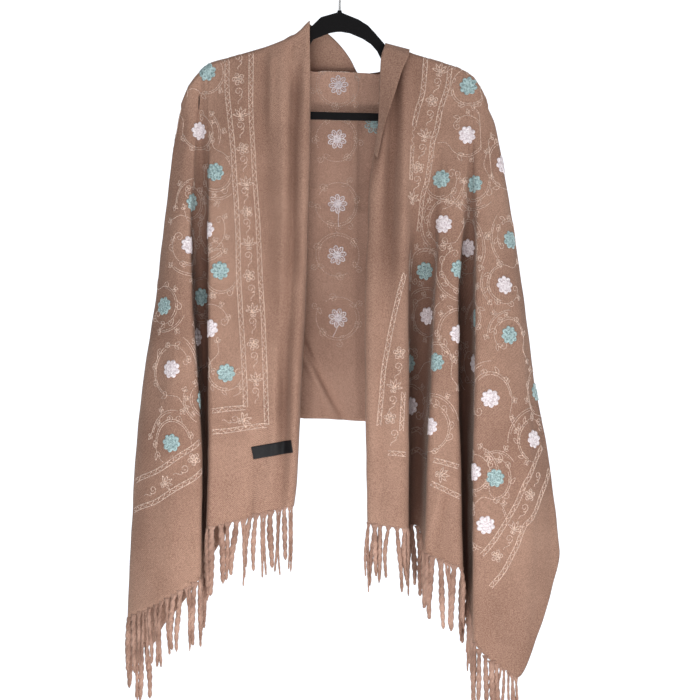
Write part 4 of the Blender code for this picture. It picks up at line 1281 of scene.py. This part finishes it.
# %% Thread materials
def thread(name, dark, light, sheen, rough, grain, closed=OPEN_RANGE[0]):
    """Smooth embroidery thread, with the fine light and dark of its twist, and painted shade where the cloth under
    it is little open.
    """
    made, tree, shader, nap = napped(name, grain)
    plain = mix_colours(tree, ranged(tree, nap["Fibre"], 0.32, 0.6), dark, light)
    complete(tree, shader, painted_fold_shade(tree, dark, plain, closed), nap["Fibre"], 0.5, 0.0005,
             {"Roughness": rough, "Sheen Weight": sheen})
    return made


# Each thread gets painted shade from the cloth under it; the blue and white flowers get less of it.
TAN_THREAD = thread("tan_thread", (0.30, 0.175, 0.125), (0.90, 0.68, 0.56), 0.3, 0.4, 430.0)
BLUE_THREAD = thread("blue_thread", (0.12, 0.20, 0.205), (0.50, 0.66, 0.66), 0.2, 0.5, 380.0, -0.5)
WHITE_THREAD = thread("white_thread", (0.56, 0.45, 0.47), (1.0, 0.93, 0.95), 0.2, 0.5, 380.0, -0.7)
print("threads ready")

# %% [markdown]
# ## The design
# A double line of chain stitch, a strip of small motifs and a second double line follow all four edges, a
# hand's breadth in from each. Inside them the field is a lattice of raised flowers, blue and white by turns,
# each in the middle of a scrolling vine with leaves and curls. Along the photographed fronts each line, motif
# and flower sits where it is seen. The back, which the photograph hides, carries the same design.

# %% Border of the fronts
PAIR_HALF = 2.9  # from the middle of a double line to each of its two lines, in mm
SIDE_SPREAD = 9  # how many points the sideways direction of a line is averaged over
DOUBLE_LINES = (
    # the middle of each double line, through these pixels
    ((250.8, 53), (251, 75), (250.8, 100), (252.5, 140), (254.5, 176), (257.8, 222), (260.3, 277), (264.5, 358),
     (266.9, 426)),
    ((266.9, 425.5), (245, 428), (229, 430.5), (212, 432)),
    ((226.3, 60), (227, 87), (229.5, 115), (233, 150), (234.5, 176), (237.8, 233), (238.5, 272), (243.5, 358),
     (245.5, 408)),
    ((245.5, 407.5), (227, 409), (212, 411)),
    ((200, 441), (184, 453), (162, 468), (136, 481)),
    ((202, 470), (184, 484), (160, 499), (134, 511)),
    ((429.8, 58), (423.5, 86), (418, 108), (413.3, 132), (412, 152), (410.8, 180)),
    ((405, 273.5), (397.8, 298.7), (393.6, 317.6), (388.4, 343), (384, 368), (381.5, 395), (378.5, 427)),
    ((452.8, 66), (447.8, 86), (440.8, 108), (437, 128), (432.3, 144), (429.7, 164.5), (427.3, 180), (422.3, 198),
     (418.5, 232)),
    ((403.5, 392), (401.5, 432)),
    ((388, 453), (398, 453.5), (406.5, 454.5)),
    ((411, 431), (423, 434)),
    ((411, 452.5), (427, 457)),
    ((433.5, 460), (446, 463), (459, 467)),
    ((431, 483), (444, 489), (460, 497)),
    ((541.7, 446), (535.5, 461), (528, 479), (515.5, 506), (503, 527), (494.5, 540), (481, 556)),
    ((549, 468.5), (541, 495), (528, 522), (516, 548), (505, 569), (490, 588)),
)
MOTIFS = (
    # kind, which way its foot points in degrees from straight down (clockwise), the pixel of each
    ("flower", -3, ((238.3, 79), (243, 148.7), (246.9, 211.7), (249.3, 275.7), (253.2, 344))),
    ("palmette", -3, ((240.8, 113), (246, 182), (248.8, 242), (252.9, 309), (255.8, 378))),
    ("scroll", -3, ((238.3, 60), (238.5, 94), (240.4, 128), (243.5, 162), (244.6, 194), (246.5, 225), (248.4, 258),
                    (251.2, 291), (252.4, 324), (254, 358.5), (255.4, 394))),
    ("palmette", 75, ((245.5, 419.5),)),
    ("scroll", 80, ((231.8, 419.3),)),
    ("flower", 55, ((194, 459),)),
    ("palmette", 60, ((167, 482),)),
    ("scroll", 58, ((182, 470), (151, 491))),
    ("palmette", 14, ((440.3, 69), (425.5, 134), (412.8, 197))),
    ("flower", 14, ((431.9, 101), (418, 167.5))),
    ("scroll", 14, ((436.5, 84), (429.3, 116), (421.5, 150), (416.2, 182))),
    ("flower", 13, ((399.5, 353), (389.8, 418))),
    ("palmette", 13, ((394.7, 385),)),
    ("scroll", 13, ((397.5, 369), (392, 402), (393.5, 436))),
    ("palmette", 100, ((443, 475),)),
    ("flower", 26, ((530, 495),)),
    ("palmette", 28, ((515.5, 527),)),
    ("scroll", 26, ((537, 478), (523.5, 510), (508, 541))),
    ("flower", 34, ((497, 556),)),
)
tan, tan_back, tan_wrong = Threads(), Threads(), Threads()
white_wrong, blue_wrong = Threads(), Threads()
border_spots = []


def path_through(places):
    """Columns and rows of a smooth line over the cloth through these places, half a stitch apart."""
    fine = curve_through(places, 60 * len(places))
    where = read_grid(surface, fine[:, 0], fine[:, 1])
    run = run_along(where) / MM
    at = np.arange(0, run[-1], STITCH / 2)
    return np.interp(at, run, fine[:, 0]), np.interp(at, run, fine[:, 1])


def beside(places, out, offset):
    """A line of places moved sideways by a distance in mm, and back onto the cloth."""
    across = np.cross(np.gradient(places, axis=0), out)
    spread = np.ones(SIDE_SPREAD)
    across = np.stack([np.convolve(across[:, k], spread, mode="same") for k in range(3)], axis=1)
    moved = places + unit(across) * np.reshape(offset, (-1, 1)) * MM
    return np.array([shawl_tree.find_nearest(Vector(place))[0] for place in moved])


def double_line(threads, c, r):
    """Two lines of chain stitch with a zigzag between them."""
    places, out = on_cloth(c, r)
    for edge in (-PAIR_HALF, PAIR_HALF):
        threads.add_line(beside(places, out, edge), out)
    swing = 0.75 * PAIR_HALF * (np.abs((np.arange(len(c)) % 6) - 3) / 1.5 - 1)
    threads.add_line(beside(places, out, swing), out, wide=0.72)
    border_spots.extend(read_grid(surface, c, r))


def motif(threads, kind, place, turn):
    if kind == "flower":
        for low, high in ((2.6, 8.8), (1.8, 5.8), (0.8, 2.8)):
            threads.draw(place, petals(5, low, high), turn, closed=True, wide=0.95)
    else:
        for xy, closed in (palmette() if kind == "palmette" else scroll()):
            threads.draw(place, xy, turn, closed=closed, wide=0.9)


for pixels in DOUBLE_LINES:
    double_line(tan, *path_through([spot(*pixel) for pixel in pixels]))
for kind, degrees, pixels in MOTIFS:
    for pixel in pixels:
        motif(tan, kind, spot(*pixel), math.radians(degrees))
print("double lines:", len(DOUBLE_LINES))

# %% Border of the back, along its lower edge
EDGE_TO_BORDER = 88.0  # mm from the cloth's edge to the strip's outer double line
STRIP_WIDTH = 29.0
MOTIF_STEP = 22.8
END_CLEAR = 14  # columns that the strip keeps clear of each side fold, where the hem turns up


def level_above_hem(above, first, last):
    """Places a distance in mm above the hem, from one column to another."""
    c = np.linspace(first, last, 60)
    hem_drop = np.interp(c, np.arange(COLUMNS), drops[:, -1])
    return list(zip(c, rows_at(c, hem_drop - above)))


first, last = PANELS["back"]
for above in (EDGE_TO_BORDER, EDGE_TO_BORDER + STRIP_WIDTH):
    double_line(tan_back, *path_through(level_above_hem(above, first + END_CLEAR, last - END_CLEAR)))
c, r = path_through(level_above_hem(EDGE_TO_BORDER + STRIP_WIDTH / 2, first + END_CLEAR, last - END_CLEAR))
order = ("palmette", "scroll", "flower", "scroll")
for n, i in enumerate(range(8, len(c) - 8, int(MOTIF_STEP / (STITCH / 2)))):
    motif(tan_back, order[n % 4], (float(c[i]), float(r[i])), math.radians(90))
print("the back's border has", n + 1, "motifs")

# %% Flowers and vines where the photograph shows them
FRONT_FLOWERS = (
    # colour, then the pixel of each flower; a third number moves it that far to the right over the fold, in mm
    ("blue", ((207, 72), (215, 172), (188.5, 202, 10), (220, 270.5), (201, 297), (164, 306), (226, 373),
              (199, 400, 8), (171, 443), (468, 86), (441, 179), (474, 184), (510.6, 240), (453.5, 269, 9),
              (425, 271), (475, 318), (509.5, 335), (411, 363.5, -5), (435, 362), (537, 392, 2),
              (495.4, 478))),
    ("white", ((199, 131), (186, 245, 6), (210.5, 230, -8), (213, 328.5, -6), (197, 337), (171, 369), (467, 135),
               (501, 164.5, 5), (443, 224), (467.5, 248), (504.6, 285), (428, 316), (453, 334, 8),
               (474, 363), (490.4, 398.5), (412.5, 406, -4), (434, 426.5, -8), (533.5, 439), (473, 472),
               (485.6, 525))),
)
blooms = {"blue": Blooms(), "white": Blooms()}
chance = random.Random(29)
RING = {"blue": 26.0, "white": 31.0}  # radius of the vine round a flower, in mm
VINE_WIDE = 0.7
CLEAR_OF_BORDER = 4.6  # how far a vine keeps from the middle of a double line, in mm
BORDER = places_tree(border_spots)


def vine(threads, place, hand, start, radius):
    """A scrolling vine round a flower: an oval arc with a hooked end, a second line beside part of it,
    leaves, curls and trefoils along it, and a stem that wanders off to the next one."""
    radius *= chance.uniform(0.84, 1.1)
    sweep, tall = chance.uniform(3.9, 5.3), chance.uniform(1.0, 1.28)
    ring = spiral(radius, start, hand * sweep, 0.14)
    strokes = [(ring, False), (spiral(radius - 2.6, start + hand * 0.5, hand * (sweep - 2.1), 0.12), False)]
    strokes.append((turned(curl(chance.uniform(4.4, 6.4), hand), start + hand * (sweep + 1.57), *ring[-1]), False))

    def sprig(heading, foot, *sizes):
        strokes.extend((turned(xy, heading, *foot), closed) for xy, closed in trefoil(*sizes))

    away = start - hand * 1.25
    stem = np.array([ring[0], ring[0] + 9 * np.array([math.cos(away), math.sin(away)])])
    bend = away + hand * 0.7
    stem = np.vstack([stem, stem[-1] + 11 * np.array([math.cos(bend), math.sin(bend)])])
    strokes.append((cubic([0.0, 1.0, 2.0], stem, np.gradient(stem, axis=0), np.linspace(0, 2, 14)), False))
    sprig(bend, stem[-1], 3.0, 7.5)
    far, begin = radius * chance.uniform(1.28, 1.42), start + hand * chance.uniform(1.4, 4.0)
    outer = spiral(far, begin, hand * chance.uniform(1.1, 1.7), 0.06, 24)
    strokes += [(outer, False), (outer[4:] * 0.93, False)]
    for foot, heading in ((outer[-1], begin + hand * 2.9), (outer[12], begin + hand * 0.2)):
        sprig(heading, foot, 3.5, 7.0)
    count = 6 if radius < 28 else 7
    for k in range(count):
        s = (k + chance.uniform(0.25, 0.75)) / count
        a = start + hand * sweep * s
        rr = radius * (1 - 0.14 * s)
        foot = rr * math.cos(a), rr * math.sin(a)
        kind = chance.randrange(4)
        if kind == 0:
            sprig(a + hand * 0.8, foot)
        elif kind == 1:
            strokes.append((turned(leaf(9.5, 4.2, hand * 1.8), a + hand * 0.8, *foot), True))
            strokes.append((turned(leaf(8.0, 3.6, -hand * 1.5), a + math.pi - hand * 0.9, *foot), True))
        elif kind == 2:
            strokes.append((turned(curl(3.8, -hand, 4.0), a + math.pi - hand * 0.9, *foot), False))
            strokes.append((turned(leaf(7.0, 3.4), a + hand * 1.0, *foot), True))
        else:
            strokes.append((turned(curl(4.6, hand, 6.0), a + hand * 0.9, *foot), False))
    for xy, closed in strokes:
        threads.draw(place, xy * (1.0, tall), closed=closed, clear=True, wide=VINE_WIDE)


for colour, pixels in FRONT_FLOWERS:
    for n, pixel in enumerate(pixels):
        place = spot(*pixel[:2])
        if len(pixel) == 3:
            place = tuple(float(value[0]) for value in lay(place, [(pixel[2], 0.0)]))
        blooms[colour].add(place, chance.uniform(0, 0.8))
        vine(tan, place, 1 if n % 2 else -1, chance.uniform(0, 6.28), RING[colour])
print("front flowers:", blooms["blue"].flowers, "blue and", blooms["white"].flowers, "white")

# %% The same lattice on the back
BACK_PITCH, BACK_STEP = 81.0, 66.0


def back_lattice():
    """Places of the back's flowers: columns a hand apart round the body, every other one half a step down."""
    first, last = PANELS["back"]
    across = np.arange(first, last + 1.0)
    level = read_grid(surface, across, rows_at(across, np.full(len(across), 420.0)))
    reach = run_along(level) / MM
    middle = np.interp(nearest_place((-0.003, 0.027, -0.42), "back")[0] - first, np.arange(len(reach)), reach)
    found = []
    for k in range(-8, 9):
        at = middle + k * BACK_PITCH
        if not 20 < at < reach[-1] - 20:
            continue
        c = first + float(np.interp(at, reach, np.arange(len(reach))))
        line = read_grid(surface, np.full(ROWS, c), np.arange(ROWS, dtype=float))
        down = run_along(line) / MM
        at, n = 42.0 + (BACK_STEP / 2 if k % 2 else 0), 0
        while at < down[-1] - EDGE_TO_BORDER - STRIP_WIDTH - 18:
            found.append((c, float(np.interp(at, down, np.arange(ROWS))), n))
            at, n = at + BACK_STEP, n + 1
    return found


for n, (c, r, order_down) in enumerate(back_lattice()):
    colour = "blue" if order_down % 2 else "white"
    blooms[colour].add((c, r), chance.uniform(0, 0.8))
    vine(tan_back, (c, r), 1 if n % 2 else -1, chance.uniform(0, 6.28), RING[colour])
print("flowers in all:", blooms["blue"].flowers + blooms["white"].flowers)

# %% [markdown]
# ## The wrong side
# Between the fronts the inside of the back shows. There the chain stitch is only a row of dots, and each
# flower is eight open loops of thread, with a loose tail.

# %% Wrong side of the back
INSIDE_WHITE = (
    # the pixel of the flower, then where its tail ends, if it has one, in mm to the right and down
    (338.5, 85, None), (337, 139, None), (337.6, 204, (-2, 33)), (337, 255, None), (338, 318, (8, 27)),
)
INSIDE_BLUE = ((374, 124),)
DOT_STEP, DOT_LONG = 2.6, 1.3


def inside_place(px, py):
    return nearest_place(shawl_tree.ray_cast(camera.location, ray_of_pixel(px, py))[0], "back")


def dots(threads, place, xy):
    """A row of dots, in mm about a place on the wrong side."""
    line = even(xy, DOT_STEP)
    way = unit(np.gradient(line, axis=0))
    ends = np.stack([line - way * DOT_LONG / 2, line, line + way * DOT_LONG / 2], axis=1).reshape(-1, 2)
    places, out = on_cloth(*lay(place, ends), -1)
    for i in range(0, len(places), 3):
        threads.add_line(places[i:i + 3], out[i:i + 3], wide=0.85, high=0.45)


def open_loops(threads, place, turn, tail=None):
    """A flower on the wrong side: eight loops, a scribbled middle and a tail."""
    oval = spiral(1.0, 0, FULL_TURN, 0, 12)[:-1]
    for k in range(PETALS):
        a = turn + FULL_TURN * k / PETALS
        threads.draw(place, turned(oval * (4.8, 3.0) + (8.6, 0), a), side=-1, closed=True, wide=1.25, high=1.0)
        threads.draw(place, turned([(5.5, 0.6), (8.0, -0.6), (11.0, 0.3)], a), side=-1, wide=1.0, high=1.0)
    threads.draw(place, spiral(5.2, turn, 17.0, 0.85, 40), side=-1, wide=1.5, high=1.2)
    if tail:
        x, y = tail
        threads.draw(place, [(0, 4), (x * 0.2 - 1.5, y * 0.4), (x * 0.5, y * 0.75), tail], side=-1, wide=0.6)


for px, py, tail in INSIDE_WHITE:
    place = inside_place(px, py)
    open_loops(white_wrong, place, chance.uniform(0, 0.8), tail)
    start = chance.uniform(0, 6.28)
    dots(tan_wrong, place, spiral(32.0, start, 5.8, 0.08, 60))
    dots(tan_wrong, place, spiral(28.5, start + 1.0, 3.0, 0.08, 40))
    for k in range(6):
        a = start + k * 1.05
        foot = 31 * math.cos(a), 31 * math.sin(a)
        dots(tan_wrong, place, turned(curl(5.0, 1 if k % 2 else -1, 4.0), a + 0.8, *foot))
        dots(tan_wrong, place, turned(leaf(9.0, 5.0), a + math.pi - 0.8, *foot))
for px, py in INSIDE_BLUE:
    place = inside_place(px, py)
    open_loops(blue_wrong, place, 0.3)
    dots(tan_wrong, place, spiral(30.0, 1.9, 2.6, 0.0, 40))
print("wrong side stitched")

# %% Make the embroidery
for work, name, finish, slot in (
    (tan, "stitching_front", TAN_THREAD, "wool_left_inner"),
    (tan_back, "stitching_back", TAN_THREAD, "wool_back_middle"),
    (tan_wrong, "stitching_inside", TAN_THREAD, "wool_back_middle"),
    (white_wrong, "white_loops_inside", WHITE_THREAD, "wool_back_middle"),
    (blue_wrong, "blue_loops_inside", BLUE_THREAD, "wool_back_middle"),
    (blooms["blue"], "blue_flowers", BLUE_THREAD, "wool_right_outer"),
    (blooms["white"], "white_flowers", WHITE_THREAD, "wool_right_outer"),
):
    work.finish(name, finish, slot)

# %% [markdown]
# ## Label and hanger
# The label is a small bare satin patch with a turned hem at each end, sewn to the left front near its hem. The
# hanger is plastic covered with short black flock, with a bright wire hook. The CAD shapes of the hanger are
# right, so they stay and only get materials.

# %% Label
LABEL_CENTRE = (-0.0935, -0.6965)
LABEL_SIZE = (0.056, 0.0175)
LABEL_TILT = math.radians(10)
LABEL_THICK, LABEL_LIFT = 0.0005, 0.0009
HEM_WIDE, HEM_HIGH = 0.0035, 0.0004  # the turned hem at each end
SEEN_FROM = -0.2  # Y in front of all the cloth

bpy.ops.mesh.primitive_grid_add(x_subdivisions=40, y_subdivisions=12, size=1, location=(0, 0, 0))
label = bpy.context.object
label.name = "neck_label"
bpy.ops.object.mode_set(mode="EDIT")
bpy.ops.transform.resize(value=(LABEL_SIZE[0], LABEL_SIZE[1], 1))
bpy.ops.object.mode_set(mode="OBJECT")
for vertex in label.data.vertices:
    x, y = vertex.co.x, vertex.co.y
    across = x * math.cos(LABEL_TILT) - y * math.sin(LABEL_TILT)
    up = x * math.sin(LABEL_TILT) + y * math.cos(LABEL_TILT)
    place = Vector((LABEL_CENTRE[0] + across, SEEN_FROM, LABEL_CENTRE[1] + up))
    touch = shawl_tree.ray_cast(place, Vector((0, 1, 0)))[0]
    hem = HEM_HIGH if abs(x) > LABEL_SIZE[0] / 2 - HEM_WIDE else 0.0
    vertex.co = (place.x, touch.y - LABEL_LIFT - hem, place.z)
solid = label.modifiers.new("thickness", "SOLIDIFY")
solid.thickness = LABEL_THICK
solid.offset = 0
bpy.ops.object.modifier_apply(modifier="thickness")
label.data.shade_smooth()


def satin():
    """Black woven satin: fine ribs across, a soft gloss, and a touch of lint."""
    made, tree, shader = new_material("black_satin")
    place = add(tree, "ShaderNodeTexCoord").outputs["Object"]
    ribs = add(tree, "ShaderNodeTexWave", {"Vector": place, "Scale": 420.0, "Distortion": 0.4},
               wave_type="BANDS", bands_direction="Z").outputs["Fac"]
    lint = add(tree, "ShaderNodeTexNoise", {"Vector": place, "Scale": 700.0, "Detail": 2.0}).outputs["Fac"]
    complete(tree, shader, mix_colours(tree, lint, (0.004, 0.004, 0.005), (0.016, 0.015, 0.016)), ribs, 0.2, 0.0002,
             {"Roughness": 0.5, "Specular IOR Level": 0.3})
    return made


label.data.materials.append(satin())
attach(label, BODY)
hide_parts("label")
print("label made")


# %% Hanger materials
def flock():
    """Short black fibres on plastic: grainy, almost without gloss, lighter where seen edge on."""
    made, tree, shader, nap = napped("black_flock", 1400.0)
    complete(tree, shader, mix_colours(tree, nap["Fibre"], (0.002, 0.002, 0.002), (0.014, 0.013, 0.014)),
             nap["Fibre"], 0.5, 0.0005, {"Roughness": 0.95, "Specular IOR Level": 0.15, "Sheen Weight": 0.06})
    return made


def steel():
    """Bright steel wire with faint marks drawn along it."""
    made, tree, shader = new_material("hook_steel")
    place = add(tree, "ShaderNodeTexCoord").outputs["Object"]
    marks = add(tree, "ShaderNodeTexNoise", {"Vector": place, "Scale": 300.0, "Detail": 3.0}).outputs["Fac"]
    tree.links.new(ranged(tree, marks, 0.0, 1.0, 0.16, 0.34), shader.inputs["Roughness"])
    tree.links.new(mix_colours(tree, marks, (0.55, 0.55, 0.54), (0.75, 0.74, 0.73)), shader.inputs["Base Color"])
    shader.inputs["Metallic"].default_value = 1.0
    return made


FLOCK, STEEL = flock(), steel()
for node, finish in (("hanger_body", FLOCK), ("hanger_bar", FLOCK), ("hanger_hook", STEEL)):
    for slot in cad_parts[node].material_slots:
        slot.material = finish
print("hanger dressed")

# %% [markdown]
# ## Studio
# The photograph is lit softly from all round, a little more from the right and from low in front, and its
# background is cut out to white. A pale floor, large soft lights and an even sky give the same light, and leave
# the deep folds dark, with the painted shade in the cloth's colour. The sky is white to the camera and dimmer as
# a light, so that it doesn't wash out the folds.

# %% Floor, lights and sky
FLOOR_Z = -1.45
SKY_LIGHT, SKY_SEEN = 0.31, 1.2  # strength as a light, and to the camera
LIGHTS = (
    # name, place, what it points at, size in m, watts, colour
    ("key", (2.0, -1.9, -0.65), (0, 0, -0.7), 1.0, 16, (1.0, 0.975, 0.95)),
    ("fill", (-1.3, -2.5, -0.2), (0, 0, -0.6), 1.4, 6, (1, 1, 1)),
    ("low_front", (-0.15, -1.0, -1.15), (-0.10, 0, -0.75), 0.5, 7, (1, 1, 1)),
    ("side", (2.6, -0.9, -0.9), (0.3, 0, -0.8), 0.9, 12, (1, 1, 1)),
    ("top", (0.1, -0.9, 0.9), (0, 0, -0.15), 1.2, 5, (1, 1, 1)),
    ("back_left", (-1.5, 2.4, 0.2), (0, 0, -0.6), 1.4, 14, (1, 1, 1)),
    ("back_right", (1.6, 2.3, -0.6), (0, 0, -0.6), 1.2, 14, (1, 1, 1)),
)

PALE, pale_tree, pale_shader = new_material("pale_stage")
pale_place = add(pale_tree, "ShaderNodeTexCoord")
pale_noise = add(pale_tree, "ShaderNodeTexNoise", {"Vector": pale_place.outputs["Object"], "Scale": 3.0})
pale_tree.links.new(mix_colours(pale_tree, pale_noise.outputs["Fac"], (0.90, 0.90, 0.90), (0.94, 0.94, 0.94)),
                    pale_shader.inputs["Base Color"])
pale_shader.inputs["Roughness"].default_value = 1.0
bpy.ops.object.select_all(action="DESELECT")
bpy.ops.mesh.primitive_circle_add(vertices=64, radius=1.7, fill_type="NGON", location=(0, 0, FLOOR_Z))
floor = bpy.context.object
floor.name = "floor"
floor.data.materials.append(PALE)


for name, place, target, size, watts, colour in LIGHTS:
    bpy.ops.object.light_add(type="AREA", location=place)
    light = bpy.context.object
    light.name = name
    light.data.size = size
    light.data.energy = watts
    light.data.color = colour
    light.rotation_euler = (Vector(target) - Vector(place)).to_track_quat("-Z", "Y").to_euler()
world = bpy.data.worlds.new("studio")
world.use_nodes = True
sky_tree = world.node_tree
sky = sky_tree.nodes["Background"]
sky.inputs["Color"].default_value = (0.96, 0.99, 1.04, 1.0)
seen_directly = add(sky_tree, "ShaderNodeLightPath")
sky_tree.links.new(ranged(sky_tree, seen_directly.outputs["Is Camera Ray"], 0.0, 1.0, SKY_LIGHT, SKY_SEEN),
                   sky.inputs["Strength"])
bpy.context.scene.world = world
bpy.context.scene.view_settings.view_transform = "Standard"
print("studio ready")
